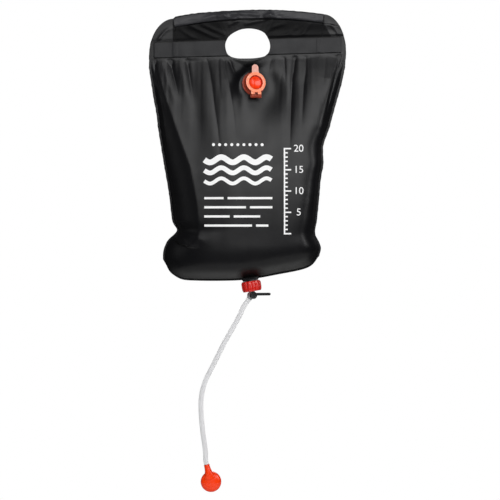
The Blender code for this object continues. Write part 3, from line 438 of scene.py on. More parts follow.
# ridges where the front turns into a flank: line, width to its left, width to its right, height
FRONT_RIDGES = (
    (((154, 56, 0.0), (157, 70, 0.35), (163.3, 94, 1.05), (172, 118, 1.1), (181.7, 146, 1), (190, 168, 1),
      (196, 200, 1), (199, 226, 0.9), (198, 238, 0.7), (192, 247, 0.35), (182, 252, 0)), 9, 34, 0.0085),
    (((336, 57, 0.0), (333.5, 68, 0.5), (331, 80, 1), (328, 96, 1), (324, 120, 1), (318.5, 150, 1),
      (315, 180, 1), (313.5, 205, 1), (313.5, 225, 0.7), (314, 238, 0)), 26, 7, 0.0075),
)
FRONT_TUCKS = (
    (((166, 228, 0.6), (172, 236, 1), (180, 243, 0.9), (190, 247, 0.6), (200, 248, 0)), 3.0, -0.0078),
    (((330, 233, 0.8), (324, 239, 1), (318, 246, 0.7), (315, 253, 0)), 2.6, 0.0070),
)
BACK_FOLDS = (
    (((185, 60), (196, 110), (204, 165)), 9, 0.0030),
    (((262, 62), (262, 100), (258, 150)), 7, 0.0026),
    (((303, 56), (298, 100), (290, 160)), 8, 0.0028),
    (((175, 236, 1), (190, 246, 1), (225, 249, 0)), 4.5, -0.0050),
    (((324, 238, 1), (312, 246, 1), (280, 248, 0)), 4.5, -0.0044),
)
BACK_PLEATS = (
    (((168, 58, 0.2), (174, 84, 1), (184, 130, 0)), 3.4, 0.0018),
    (((213, 58, 0.2), (218, 88, 1), (224, 140, 0)), 3.6, 0.0017),
    (((234, 68, 0.2), (238, 90, 1), (242, 130, 0)), 2.4, 0.0013),
    (((280, 58, 0.2), (278.5, 86, 1), (272, 140, 0)), 3.6, 0.0018),
    (((322, 58, 0.2), (316.5, 84, 1), (308, 130, 0)), 3.4, 0.0018),
)


WELD_SHARE, WELD_COLUMNS = EDGE_WELD / BAG_WIDTH, 7
# shares past the chamber's end that close the bottom weld
WELD_ENDS = (1.004, 1.008, 1.012)
FLAT = SHEET_INNER + SHEET
EDGE_WAVES, EDGE_POWER, EDGE_START = (0.00045, 6, 6, 14, 0, 0.01), 8, 0.05
CROSS_POWER, FLATNESS_POWERS = 0.75, (3, 10)
PAD_RADIUS, PAD_BLEND, PAD_BLEND_CHANGE, PAD_RISE = 0.0255, 0.034, 0.018, 0.0060
PAD_LEFT_CUT, PAD_RIGHT_CUT, PAD_TURN = 0.62, 0.16, 1.4
# waves: height, how many, shortest and longest in pixels, and their angles; seeds add to the sheet's own
GATHER_SEED, SIDE_SEED, LOW_SEED = 7, 2, 3
WRINKLES, WRINKLE_STRETCH = (0.0002, 8, 12, 34, -0.35, 0.35), 0.3
GATHERS, GATHER_STRETCH, GATHER_FADE = (0.00014, 12, 4, 11, -0.25, 0.25), 0.10, (70, 90)
SIDE_PUCKERS, SIDE_PUCKER_START = (0.0004, 7, 10, 30, 0, 0.02), (0.1, 0.3)
LOW_PUCKERS = (0.0005, 7, 7, 18, 0, 0.02)
PUCKER_REACH, FILLED_WIDTH, FILLED_LENGTH = 0.024, 0.85, 0.46
CALM_SIDE, CALM_BOTTOM, CALM_TOP = 0.010, 0.008, 0.022


def across_shares(count):
    """Shares across the sheet: a few inside each weld, then closer by the sides than in the middle."""
    weld = np.linspace(0, WELD_SHARE, WELD_COLUMNS)[:-1]
    even = np.linspace(0, 1, count + 1)
    inner = WELD_SHARE + (1 - 2 * WELD_SHARE) * (even - 0.5 * np.sin(tau * even) / tau)
    return np.concatenate([weld, inner, 1 - weld[::-1]])


def flat_place(u):
    """X of a place across the header."""
    return side(0.0, LEFT_CURVE) * (1 - u) + side(0.0, RIGHT_CURVE) * u


def inside_welds(u):
    return np.clip((u - WELD_SHARE) / (1 - 2 * WELD_SHARE), 0, 1)


def sheet_places(count, header_rows, chamber_rows, seed):
    """X, Z and the shares across and down the chamber, for every point of a sheet's grid."""
    u = across_shares(count)
    flat_x = flat_place(u)
    top, high, low = top_line(flat_x), chamber_top(flat_x), bottom(u)
    rows = []
    for share in np.linspace(0, 1, header_rows + 1)[:-1]:
        rows.append((flat_x, top + (high - top) * share, np.full(u.shape, share - 1)))
    for share in (*np.linspace(0, 1, chamber_rows + 1), *WELD_ENDS):
        into_weld = EDGE_WELD * max(share - 1, 0) / (WELD_ENDS[-1] - 1)
        z = high + (low + EDGE_WELD - high) * min(share, 1) - into_weld
        left, right = side(z, LEFT_CURVE), side(z, RIGHT_CURVE)
        rows.append((left * (1 - u) + right * u, z, np.full(u.shape, share)))
    x, z, down = (np.array(part) for part in zip(*rows))
    edge = waves(z * PIXELS, 0 * z, seed, *EDGE_WAVES)
    outer = np.abs(2 * u - 1) ** EDGE_POWER * np.sign(u - 0.5)
    return x + edge * outer * smooth_step(-z / EDGE_START), z, inside_welds(u), down


def standing_out(across, down):
    """How far the filled chamber stands out, with a flatter right half."""
    depth = HALF_DEPTH * np.interp(down, *DEPTH_CURVE)
    power = np.where(across < 0.5, *FLATNESS_POWERS)
    crown = np.clip(1 - np.abs(2 * across - 1) ** power, 0, 1) ** CROSS_POWER
    return np.where((down >= 0) & (down <= 1), depth * crown, 0)


def folded(x, z, across, down, forms, seed):
    """Height of all folds, puckers and wrinkles over the chamber's form."""
    px, py = pixels(x, z)
    height = sum(form(px, py, *values) for form, table in forms for values in table)
    height = height + waves(px, py * WRINKLE_STRETCH, seed, *WRINKLES)
    gathers = waves(px, py * GATHER_STRETCH, seed + GATHER_SEED, *GATHERS)
    height = height + gathers * (1 - eased(py, GATHER_FADE))
    from_side = (0.5 - np.abs(across - 0.5)) * BAG_WIDTH * FILLED_WIDTH
    from_bottom = np.clip(1 - down, 0, 1) * FILLED_LENGTH
    side_pucker = waves(py, 0 * py, seed + SIDE_SEED, *SIDE_PUCKERS) * np.exp(-from_side / PUCKER_REACH)
    low_pucker = waves(px, 0 * px, seed + LOW_SEED, *LOW_PUCKERS) * np.exp(-from_bottom / PUCKER_REACH)
    height = height + side_pucker * eased(down, SIDE_PUCKER_START) + low_pucker
    calm = smooth_step(from_side / CALM_SIDE) * smooth_step(from_bottom / CALM_BOTTOM)
    return np.where((down >= 0) & (down <= 1), height * calm * smooth_step(down / CALM_TOP), 0)


def seated(x, y, z, stand):
    """Draws the front sheet round the filler into the plane of its base, where it stands out."""
    outward = FILLER_AXES.col[2]
    distance = np.hypot(x - FILLER.x, z - FILLER.z)
    reach = np.maximum(distance, TINY)
    up, left = (z - FILLER.z) / reach, (FILLER.x - x) / reach
    cut = PAD_LEFT_CUT * smooth_step(left * PAD_TURN) + PAD_RIGHT_CUT * smooth_step(-left * PAD_TURN)
    blend = (PAD_BLEND - PAD_BLEND_CHANGE * up) * (1 - cut)
    weight = np.exp(-((np.maximum(distance - PAD_RADIUS, 0) / blend) ** 2))
    plane = FILLER.y - ((x - FILLER.x) * outward.x + (z - FILLER.z) * outward.z) / outward.y
    return y + (plane - y) * weight * smooth_step(stand / PAD_RISE)


HOLE_RING = smooth_ring([(x * HOLE_WIDTH, -z * HOLE_HEIGHT) for x, z in HOLE_OUTLINE], CURVE_STEPS)


def nearest_on_ring(x, z, ring):
    """For points (x, z): the nearest point on a closed ring, the distance, and whether inside it."""
    best = np.full(x.shape, np.inf)
    best_x, best_z = np.zeros(x.shape), np.zeros(x.shape)
    inside = np.zeros(x.shape, bool)
    for (ax, az), (bx, bz) in zip(ring, np.roll(ring, -1, 0)):
        dx, dz = bx - ax, bz - az
        share = np.clip(((x - ax) * dx + (z - az) * dz) / (dx * dx + dz * dz), 0, 1)
        nx, nz = ax + share * dx, az + share * dz
        distance = np.hypot(x - nx, z - nz)
        closer = distance < best
        best = np.where(closer, distance, best)
        best_x, best_z = np.where(closer, nx, best_x), np.where(closer, nz, best_z)
        crosses = ((az > z) != (bz > z)) & (x < ax + (z - az) * dx / (dz if dz else 1e-12))
        inside ^= crosses
    return best_x, best_z, best, inside


HOLE_MARGIN = 0.00072
SHEET_SHARP, MOULD_SHARP = radians(42), radians(38)


def grid_mesh(name, x, y, z, rings, zone, flip=False):
    """A sheet's face from its grid, with holes cut to the rings and a material by zone."""
    gone = np.zeros(x.shape, bool)
    rows, columns = x.shape
    for ring in rings:
        near_x, near_z, distance, inside = nearest_on_ring(x, z, ring)
        dead = inside & (distance > HOLE_MARGIN)
        gone |= dead
        padded = np.pad(dead, 1)
        touches = np.zeros(x.shape, bool)
        for i in range(3):
            for j in range(3):
                touches |= padded[i:i + rows, j:j + columns]
        x, z = (np.where(touches & ~dead, near, at) for near, at in ((near_x, x), (near_z, z)))
    index = np.arange(rows * columns).reshape(rows, columns)
    corners = np.stack([index[:-1, :-1], index[1:, :-1], index[1:, 1:], index[:-1, 1:]], -1)
    keep = ~gone.ravel()[corners].any(-1)
    faces = corners[keep][:, ::-1] if flip else corners[keep]
    used = np.unique(faces)
    renumber = np.full(rows * columns, -1)
    renumber[used] = np.arange(len(used))
    points = np.stack([x, y, z], -1).reshape(-1, 3)[used]
    mesh = bpy.data.meshes.new(name)
    mesh.from_pydata(points.tolist(), [], renumber[faces].tolist())
    mesh.polygons.foreach_set("material_index", zone[:-1, :-1][keep].astype(np.int32))
    mesh.update()
    return mesh


def thickened(made, thickness):
    wall = made.modifiers.new("wall", "SOLIDIFY")
    wall.thickness, wall.offset = thickness, -1.0
    applied(made)
    made.data.shade_smooth()
    made.data.set_sharp_from_angle(angle=SHEET_SHARP)


def evaluated(made):
    return bpy.data.meshes.new_from_object(made.evaluated_get(bpy.context.evaluated_depsgraph_get()))


def applied(made):
    mesh = evaluated(made)
    made.modifiers.clear()
    made.data = mesh


# Bag pieces

FRONT_FORMS = ((fold, FRONT_FOLDS), (pleat, FRONT_PLEATS), (ridge, FRONT_RIDGES), (tuck, FRONT_TUCKS))
BACK_FORMS = ((fold, BACK_FOLDS), (pleat, BACK_PLEATS))
FRONT_SEED, BACK_SEED = 11, 31
# points across, rows in the header, rows in the chamber, and the seed of the edge's waves
FRONT_GRID, BACK_GRID = (300, 40, 290, 5), (150, 24, 200, 6)
FILLER_HOLE, HOLE_POINTS = 0.0166, 72
FILLER_CALM = (0.025, 0.022)


def front_face(x, z):
    """Y of the front sheet's outer face at any place on it."""
    left, right = side(z, LEFT_CURVE), side(z, RIGHT_CURVE)
    u = (x - left) / (right - left)
    high, low = chamber_top(flat_place(u)), bottom(u)
    return sheet_face(x, z, inside_welds(u), (z - high) / (low + EDGE_WELD - high), True)


def sheet_face(x, z, across, down, is_front):
    """Y of a sheet's outer face; the back one's is for a sheet that faces the same way."""
    rise = folded(x, z, across, down, *((FRONT_FORMS, FRONT_SEED) if is_front else (BACK_FORMS, BACK_SEED)))
    if is_front:
        from_filler = np.hypot(x - FILLER.x, z - FILLER.z)
        rise = rise * eased(from_filler, FILLER_CALM)
    header = np.where(down < 0, header_relief(x, z, is_front), 0)
    stand = standing_out(across, down)
    y = -np.maximum(FLAT + stand + rise, FLAT) - header
    return seated(x, y, z, stand) if is_front else y


# The header's creases on both sheets, the front's streaks, and how its face leans by the hem and on the right
HEADER_CREASES = (
    (((157, 42), (163, 34), (174, 24)), 1.6, 0.0011),
    (((341, 38), (334, 28), (324, 19)), 1.6, 0.0010),
)
HEADER_STREAKS = (
    (((190, 26, 0.5), (203, 32, 1), (217, 38, 0.6)), 2.0, 0.0015),
    (((203, 25, 0.5), (214, 30, 1), (224, 34, 0.6)), 2.0, 0.0012),
    (((181, 30, 0.5), (190, 36, 1), (198, 40, 0.4)), 1.8, 0.0008),
    (((296, 40, 0.5), (303, 34, 1), (309, 25, 0.6)), 2.2, 0.0014),
    (((276, 39, 0.5), (287, 35, 1), (296, 28, 0.6)), 2.0, 0.0010),
    (((265, 32, 0.5), (274, 27, 1), (284, 24, 0.4)), 1.8, 0.0012),
    (((246, 24, 0.4), (256, 21.5, 1), (268, 19, 0.6)), 1.5, 0.0022),
    (((230, 25, 0.4), (237, 21, 1), (240, 18, 0.6)), 1.6, 0.0018),
)
HEADER_LUMPS, LUMP_SQUEEZE, LUMP_SEED = (0.0003, 8, 12, 30, 0.5, 2.2), 0.6, 21
TOP_LEAN, TOP_LEAN_Y, RIGHT_LEAN, RIGHT_LEAN_X, RIGHT_LEAN_Y = 0.0024, (20, 13), 0.0014, (262, 14), (29, 10)
HEADER_CALM, HEADER_CALM_GAP, HEM_CALM, HEADER_HIGHEST = 0.004, 0.001, (0.009, 0.003), 0.0036


def header_relief(x, z, is_front):
    """Soft unevenness of the flat header, always outward, and none where the strips and the hem sit."""
    px, py = pixels(x, z)
    strips = smooth_step((z - strip_line(x) - STRIP_HEIGHT - HEADER_CALM_GAP) / HEADER_CALM)
    hem = smooth_step((hem_line(x) - HEM_HEIGHT - z) / HEM_CALM[is_front])
    beyond = smooth_step((np.abs(x) - HEM_HALF) / HEADER_CALM)
    relief = HEADER_LUMPS[0] + waves(px * LUMP_SQUEEZE, py, LUMP_SEED, *HEADER_LUMPS)
    relief = relief + sum(fold(px, py, *values) for values in HEADER_CREASES + HEADER_STREAKS * is_front)
    if is_front:
        right = RIGHT_LEAN * eased(py, RIGHT_LEAN_Y) * eased(px, RIGHT_LEAN_X)
        relief = relief + (TOP_LEAN * (1 - eased(py, TOP_LEAN_Y)) + right) * hem
    return np.clip(relief, 0, HEADER_HIGHEST) * strips * np.maximum(hem, beyond)


def circle_on_sheet(radius):
    """A ring in X and Z that is a circle in the filler's base plane."""
    right, up = FILLER_AXES.col[0], FILLER_AXES.col[1]
    ring = []
    for turn in tau * np.arange(HOLE_POINTS) / HOLE_POINTS:
        point = FILLER + right * radius * cos(turn) + up * radius * sin(turn)
        ring.append((point.x, point.z))
    return np.array(ring)


# Looks of the front sheet by zone, and where its darker film of painted shade lies, in the photograph's
# pixels
FRONT_LOOKS = ("film", "recess", "painted_shade_dim", "painted_shade_mid", "painted_shade_pale")
DARKEST_FILM, MIDDLE_DARK_FILM = FRONT_LOOKS.index("recess"), FRONT_LOOKS.index("painted_shade_mid")
RECESS_LEFT, RECESS_RIGHT, RECESS_SLANT, RECESS_TOP = 172.5, 323.5, 0.6, 23
OVER_HOLE, OVER_HOLE_SLANT, OVER_HOLE_STEPS = (245, 24), 0.5, (26, 22, 17)
UNDER_HOLE, UNDER_HOLE_SLANT, UNDER_HOLE_RIM = (247, 68.5), 0.62, 1.2
BY_FOOT, FOOT_REACH, FOOT_STEPS = (251, 275), (15, 9), (0.6, 0.74, 0.87, 1)
RIM_COLUMNS, CHAMBER_START, CHAMBER_MIDDLE = 2, -0.02, 0.5


def front_zones(x, z, down):
    """Which look each place of the front sheet has: darker film as painted shade over the header's recess,
    lighter in steps towards the hole, as a painted shadow under the hole's rim and in steps round the
    outlet's foot, and darker film along the header's outer edge.
    """
    px, py = pixels(x, z)
    # painted shade: the header's recess between the hem and the strips in darker film, lighter in steps over
    # the hole
    right = RECESS_RIGHT + np.maximum(py - RECESS_TOP, 0) * RECESS_SLANT
    in_recess = (z > strip_line(x) + STRIP_HEIGHT) & (down < 0) & (px > RECESS_LEFT) & (px < right)
    over_hole = np.abs(px - OVER_HOLE[0]) + OVER_HOLE_SLANT * (py - OVER_HOLE[1])
    zone = np.where(in_recess, DARKEST_FILM + sum(over_hole < step for step in OVER_HOLE_STEPS), 0)
    # painted shadow: a dark triangle of film under the hole's rim
    under_hole = UNDER_HOLE[1] - py - UNDER_HOLE_SLANT * np.abs(px - UNDER_HOLE[0])
    under_zone = np.where(under_hole > UNDER_HOLE_RIM, DARKEST_FILM, MIDDLE_DARK_FILM)
    zone = np.where((down > CHAMBER_START) & (under_hole > 0), under_zone, zone)
    # darker film along the header's outer edge
    column = np.arange(x.shape[1])
    rim = np.minimum(column, column[::-1]) < RIM_COLUMNS
    zone = np.where(rim & (down < 0), DARKEST_FILM, zone)
    # painted shade: darker film in steps round the outlet's foot, dimming the sheet's reflections above the
    # nut
    from_foot = np.hypot((px - BY_FOOT[0]) / FOOT_REACH[0], (py - BY_FOOT[1]) / FOOT_REACH[1])
    step = sum((from_foot >= limit).astype(int) for limit in FOOT_STEPS)
    return np.where((down > CHAMBER_MIDDLE) & (step < len(FOOT_STEPS)), DARKEST_FILM + step, zone)


def build_sheets():
    x, z, across, down = sheet_places(*FRONT_GRID)
    y = sheet_face(x, z, across, down, True)
    rings = [HOLE_RING, circle_on_sheet(FILLER_HOLE)]
    front = grid_mesh("bag_front", x, y, z, rings, front_zones(x, z, down))
    front = link("bag_front", front, FRONT_LOOKS)
    x, z, across, down = sheet_places(*BACK_GRID)
    y = -sheet_face(x, z, across, down, False)
    back = grid_mesh("bag_back", x, y, z, [HOLE_RING], np.zeros(x.shape), flip=True)
    back = link("bag_back", back, ("film",))
    for made, node in ((front, "front_panel"), (back, "back_panel")):
        thickened(made, SHEET)
        belongs(made, "bag", node)
    return front, back


# Hem: creases of its front, in the photograph's pixels, then how far it stands out at heights from its middle
HEM_CREASES = (
    (((236, 25, 0.3), (244, 23, 1), (258, 20.5, 1), (271, 18, 0.4)), 1.9, 0.0048),
    (((227, 14.5, 0.4), (240, 13.5, 1), (258, 15.5, 0.6)), 1.7, 0.0034),
    (((272, 22, 0.3), (284, 19.5, 1), (298, 19, 0.3)), 1.8, 0.0026),
    (((203, 19, 0.3), (213, 16.5, 1), (223, 15, 0.5)), 1.8, 0.0030),
    (((219, 17, 0.6), (224, 15.5, 1), (228, 18, 0.5)), 2.0, 0.0050),
    (((239, 19, 0.8), (243, 22, 1), (246, 24, 0.5)), 1.9, 0.0044),
    (((266, 16, 0.6), (270, 15, 1), (274, 17, 0.5)), 2.0, 0.0048),
    (((246, 14, 0.5), (252, 17, 1), (262, 17, 0.5)), 2.0, -0.0026),
    (((229, 20, 0.6), (235, 18, 1), (240, 16, 0.5)), 1.9, -0.0026),
    (((276, 14, 0.6), (281, 16, 1), (290, 15, 0.4)), 1.7, -0.0014),
    (((180, 22, 0.5), (190, 19, 1), (200, 18, 0.4)), 1.5, 0.0010),
)
HEM_EDGE, HEM_EDGE_POWER, HEM_FILM, HEM_STATIONS, HEM_SAMPLES = 0.0085, 6, 0.0004, 260, 16
HEM_HEIGHTS = (-0.0085, -0.0077, -0.005, 0.0, 0.004, 0.007, 0.0085)
HEM_THICKS = (0.0012, 0.0034, 0.0042, 0.0039, 0.0035, 0.0028, 0.0013)
HEM_WAVES, HEM_SEEDS = (0.0009, 9, 8, 30, -0.5, 0.5), {-1: 41, 1: 43}
ROD_REACH, ROD_LEAST = 0.0037, 0.0013
HEM_SWELL, SWELL_RISE, SWELL_FALL = 0.0030, (174, 3), (190, 40)
HEM_RIPPLES, RIPPLE_SEED = (0.00035, 6, 5, 13, 0, 0.02), 47
HEM_BUMP, BUMP_X, BUMP_WIDTH = 0.0008, 224, 4
HEM_LIFT = (-0.001, 0.009)
# the dark line along the hem's top: its width, and where it widens, by how much and how far
HEM_LINE, HEM_LINE_WIDER = 0.0008, ((180, 0.0016, 8), (314, 0.0010, 12))


def bell(value, middle, width):
    return np.exp(-(((value - middle) / width) ** 2))


def hem_lift(px):
    """How far the loose fabric along the hem's top edge stands above the rod's pocket."""
    swell = HEM_SWELL * eased(px, SWELL_RISE) * (1 - eased(px, SWELL_FALL))
    return swell + waves(px, 0 * px, RIPPLE_SEED, *HEM_RIPPLES) + HEM_BUMP * bell(px, BUMP_X, BUMP_WIDTH)


def hem_face(x, height, way):
    """How far the hem stands out at a place along it and a height from its middle."""
    px, py = pixels(x, hem_line(x) - HEM_HEIGHT / 2 + height)
    rise = waves(px, height / PIXEL, HEM_SEEDS[way], *HEM_WAVES)
    if way < 0:
        rise = rise + sum(fold(px, py, *values) for values in HEM_CREASES)
    edge = np.clip(1 - (np.abs(height) / HEM_EDGE) ** HEM_EDGE_POWER, 0, 1)
    rod = np.sqrt(np.maximum(ROD_REACH**2 - height**2, ROD_LEAST**2))
    return np.maximum(np.interp(height, HEM_HEIGHTS, HEM_THICKS) + rise * edge, rod)


def build_hem():
    heights = HEM_EDGE * np.sin(np.linspace(-pi / 2, pi / 2, HEM_SAMPLES))
    places = [(-1, height) for height in heights] + [(1, height) for height in heights[::-1][1:-1]]
    bm = bmesh.new()
    rings = []
    for x in np.linspace(-HEM_HALF, HEM_HALF, HEM_STATIONS):
        slope = TILT - 2 * HEM_CROWN * x / HEM_HALF**2
        up = Vector((-slope, 0, 1)).normalized()
        wobble = float(hem_lift(np.array(pixels(x, 0)[0])))
        centre = Vector((x, 0, hem_line(x) - HEM_HEIGHT / 2))
        ring = []
        for way, height in places:
            out = float(hem_face(np.array(x), np.array(height), way))
            lift = wobble * float(eased(height, HEM_LIFT))
            ring.append(bm.verts.new(centre + up * (height + lift) + Vector((0, way * out, 0))))
        rings.append(ring)
    for one, other in zip(rings, rings[1:]):
        for a, b, c, d in zip(one, one[1:] + one[:1], other[1:] + other[:1], other):
            bm.faces.new((a, b, c, d))
    for face in bm.faces:
        middle = face.calc_center_median()
        px = float(pixels(middle.x, 0)[0])
        level = middle.z - hem_line(middle.x) - float(hem_lift(np.array(px)))
        line = HEM_LINE + sum(wider * bell(px, at, width) for at, wider, width in HEM_LINE_WIDER)
        face.material_index = int(level > -line)
    made = link("hem", meshed("hem", bm), ("hem", "line"))
    thickened(made, HEM_FILM)
    belongs(made, "bag", "hem_sleeve")
    return made


STRIP_COLUMNS, STRIP_ROWS = 240, 22
STRIP_WAVES, STRIP_SEEDS = (0.00018, 8, 9, 30, -0.3, 0.3), {"band_left": 51, "band_right": 52}
# weld bars across the strips: height, and their places and half widths in pixels
BAR_HEIGHT, WELD_BARS = 0.0004, ((175, 2.4), (318, 1.6))
STRIP_CALM, STRIP_EDGE_DROP, STRIP_EDGE, STRIP_LINE, STRIP_GAP = 0.004, 0.0008, 0.0012, 0.0016, 0.0009


def build_strip(name, start, end):
    u = np.linspace(0, 1, STRIP_COLUMNS + 1)
    v = (1 - np.cos(np.linspace(0, pi, STRIP_ROWS + 1))) / 2
    u, v = np.meshgrid(u, v)
    x = start + (end - start) * u
    z = strip_line(x) + STRIP_HEIGHT * (1 - v)
    px, py = pixels(x, z)
    from_line = np.minimum(v, 1 - v) * STRIP_HEIGHT
    edge = np.minimum(from_line, np.minimum(u, 1 - u) * (end - start))
    bow = waves(px, py, STRIP_SEEDS[name], *STRIP_WAVES)
    bars = BAR_HEIGHT * sum(np.exp(-(((px - at) / width) ** 4)) for at, width in WELD_BARS)
    drop = STRIP_EDGE_DROP * (1 - smooth_step(edge / STRIP_EDGE))
    y = drop - STRIP_FRONT - (bow + bars) * smooth_step(edge / STRIP_CALM)
    # the dark lines along the strips' top and bottom edges are painted shadow lines
    made = grid_mesh(name, x, y, z, [HOLE_RING], from_line < STRIP_LINE)
    made = link(name, made, ("strip", "line"))
    thickened(made, STRIP_FRONT - STRIP_BACK - STRIP_GAP)
    belongs(made, "bag", name.replace("band", "strip"))
    return made


# Hose: the route's points as part.py has them, in metres

HOSE_SLANT, HEAD_TILT = radians(36), radians(14)
HOSE_START = Vector((0.000557, 0, -0.551793))
HOSE_END = Vector((-0.085724, -0.0035, -0.888508))
HOSE_ALONG = Vector((-sin(HOSE_SLANT), 0, -cos(HOSE_SLANT)))
HEAD_UP = Vector((-sin(HEAD_TILT), 0, cos(HEAD_TILT)))
HOSE_ROUTE = (
    (-0.0104, 0.5677), (-0.0228, 0.5943), (-0.0494, 0.6410), (-0.0712, 0.6848), (-0.0900, 0.7238),
    (-0.0971, 0.7607), (-0.0947, 0.8107), (-0.0884, 0.8576),
)
HOSE_SEATING, HOSE_LENGTH, HOSE_DIAMETER = 0.008, 0.3609, 0.010
HOSE_STEPS, HOSE_ROUNDNESS = 3, 10


def build_hose():
    middle = []
    for x, drop in HOSE_ROUTE:
        share = float(smooth_step((drop + HOSE_START.z) / (HOSE_START.z - HOSE_END.z)))
        middle.append(Vector((x, HOSE_END.y * share, -drop)))
    points = [HOSE_START + HOSE_ALONG * HOSE_SEATING, *middle, HOSE_END + HEAD_UP * HOSE_SEATING]
    route = [HOSE_START, *curve_through(points, HOSE_STEPS), HOSE_END]
    curve = bpy.data.curves.new("shower_hose", "CURVE")
    curve.dimensions, curve.use_fill_caps = "3D", True
    curve.bevel_depth, curve.bevel_resolution = HOSE_DIAMETER / 2, HOSE_ROUNDNESS
    line = curve.splines.new("POLY")
    line.points.add(len(route) - 1)
    for point, place in zip(line.points, route):
        point.co = (*place, 1)
    made = link("shower_hose", curve, ("hose",))
    belongs(made, "bag", "hose")


# Hardware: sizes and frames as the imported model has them, in metres; outlines are (radius, height) points

OUTLET_TILT, TAP_YAW = radians(9), radians(20)
# segments of small and of large round forms, and steps of their arcs
GRIP_ROUND, NOZZLE_ROUND, FEW, SOME, MEDIUM, MANY, MOST = 16, 20, 32, 64, 72, 96, 128
DISH_STEPS, ARM_STEPS, DOME_STEPS, TAB_STEPS = 7, 9, 13, 15
SHORTEST_SIDE, CORNER_STEPS, SLAB_STEPS = 0.46, 4, 3
FILLETS = {
    "spout": 0.0005, "rim": 0.0012, "tab": 0.0007, "lid_grip": 0.0003, "foot": 0.0008, "nut": 0.0007,
    "housing": 0.0008, "nipple": 0.0006, "disc": 0.0005, "arm": 0.0004, "arm_grip": 0.0002, "neck": 0.0016,
    "bead": 0.0006, "rose": 0.0003, "nozzle": 0.0002, "plain": 0.0004,
}


def filleted(points, radius, closed=True):
    """An outline with each of its corners rounded; an open one keeps its ends."""
    rounded = []
    for i, point in enumerate(points):
        corner = Vector(point)
        if not closed and i in (0, len(points) - 1):
            rounded.append(corner)
            continue
        into = Vector(points[i - 1]) - corner
        out = Vector(points[(i + 1) % len(points)]) - corner
        start, end = (corner + way * min(radius / way.length, SHORTEST_SIDE) for way in (into, out))
        for t in np.linspace(0, 1, CORNER_STEPS):
            rounded.append(start * (1 - t) ** 2 + corner * 2 * t * (1 - t) + end * t**2)
    return rounded


def turned(profile, segments=MANY, closed=True, reshaped=None):
    """An outline turned about Z; reshaped gives a new radius by angle."""
    bm = bmesh.new()
    rings = []
    for radius, height in profile:
        count = segments if radius > TINY else 1
        ring = []
        for turn in np.arange(count) * tau / segments:
            reach = reshaped(radius, turn) if reshaped else radius
            ring.append(bm.verts.new((reach * cos(turn), reach * sin(turn), height)))
        rings.append(ring)
    if closed:
        rings.append(rings[0])
    for one, other in zip(rings, rings[1:]):
        for i in range(segments):
            j = i + 1
            corners = (one[i % len(one)], one[j % len(one)], other[j % len(other)], other[i % len(other)])
            bm.faces.new(list(dict.fromkeys(corners)))
    return bm


def lathed(outline, fillet, segments=MANY, closed=False, reshaped=None):
    """An outline turned about Z with its corners rounded; an open one starts and ends on the axis."""
    return turned(filleted(outline, FILLETS[fillet], closed), segments, closed, reshaped)


def barrel(start, end, radius, end_radius=None, fillet="plain", bore=0.0, segments=MANY // 2):
    """A round bar from one point to another, with rounded ends and an optional bore."""
    start, end = Vector(start), Vector(end)
    length = (end - start).length
    outline = [(bore, 0), (radius, 0), (end_radius or radius, length), (bore, length)]
    bm = lathed(outline, fillet, segments, closed=bore > 0)
    turn = (end - start).to_track_quat("Z", "Y").to_matrix().to_4x4()
    bmesh.ops.transform(bm, matrix=Matrix.Translation(start) @ turn, verts=bm.verts)
    return bm


def pillar(half, radius, x=0, y=0, **values):
    """A round bar along Z, with its middle in the frame's plane."""
    return barrel((x, y, -half), (x, y, half), radius, **values)


def arc(x, y, radius, start, end, count):
    """Points of an arc round a place."""
    turns = np.linspace(start, end, count)
    return [(x + radius * cos(turn), y + radius * sin(turn)) for turn in turns]


def slab(outline, low, high, fillet):
    """A flat form over an outline of (x, y) points, with rounded edges."""
    bm = bmesh.new()
    face = bm.faces.new([bm.verts.new((x, y, low)) for x, y in outline])
    raised = bmesh.ops.extrude_face_region(bm, geom=[face])
    moved = [part for part in raised["geom"] if isinstance(part, bmesh.types.BMVert)]
    bmesh.ops.translate(bm, verts=moved, vec=(0, 0, high - low))
    rims = [rim for rim in bm.edges if abs(rim.verts[0].co.z - rim.verts[1].co.z) < TINY]
    bmesh.ops.bevel(bm, geom=rims, offset=FILLETS[fillet], segments=SLAB_STEPS, profile=0.5, affect="EDGES")
    return bm


def as_object(name, bm):
    bmesh.ops.recalc_face_normals(bm, faces=bm.faces)
    return placed(name, meshed(name, bm))


def moulded(name, node, body, frame_of, looks, solids, cuts=(), look_at=None):
    """One closed piece from its forms, joined and cut in its own frame and then set in its place."""
    made = as_object(name, solids[0])
    tools = []
    for operation, forms in (("UNION", solids[1:]), ("DIFFERENCE", cuts)):
        for form in forms:
            tools.append(as_object("tool", form))
            step = made.modifiers.new(operation, "BOOLEAN")
            step.operation, step.object, step.solver = operation, tools[-1], "EXACT"
    applied(made)
    for tool in tools:
        bpy.data.objects.remove(tool)
    mesh = made.data
    mesh.materials.clear()
    for look in looks:
        mesh.materials.append(LOOKS[look])
    for face in mesh.polygons:
        face.material_index = looks.index(look_at(face.center)) if look_at else 0
    place, axes = frame_of
    mesh.transform(Matrix.Translation(place) @ axes.to_4x4())
    mesh.shade_smooth()
    mesh.set_sharp_from_angle(angle=MOULD_SHARP)
    made.modifiers.new("normals", "WEIGHTED_NORMAL").keep_sharp = True
    applied(made)
    belongs(made, body, node)


def frame_at(x, z, right, up):
    """A place in the bag's plane, and a matrix whose columns are the right, up and outward directions."""
    right, up = Vector(right), Vector(up)
    return Vector((x, 0, z)), Matrix((right, up, right.cross(up))).transposed()


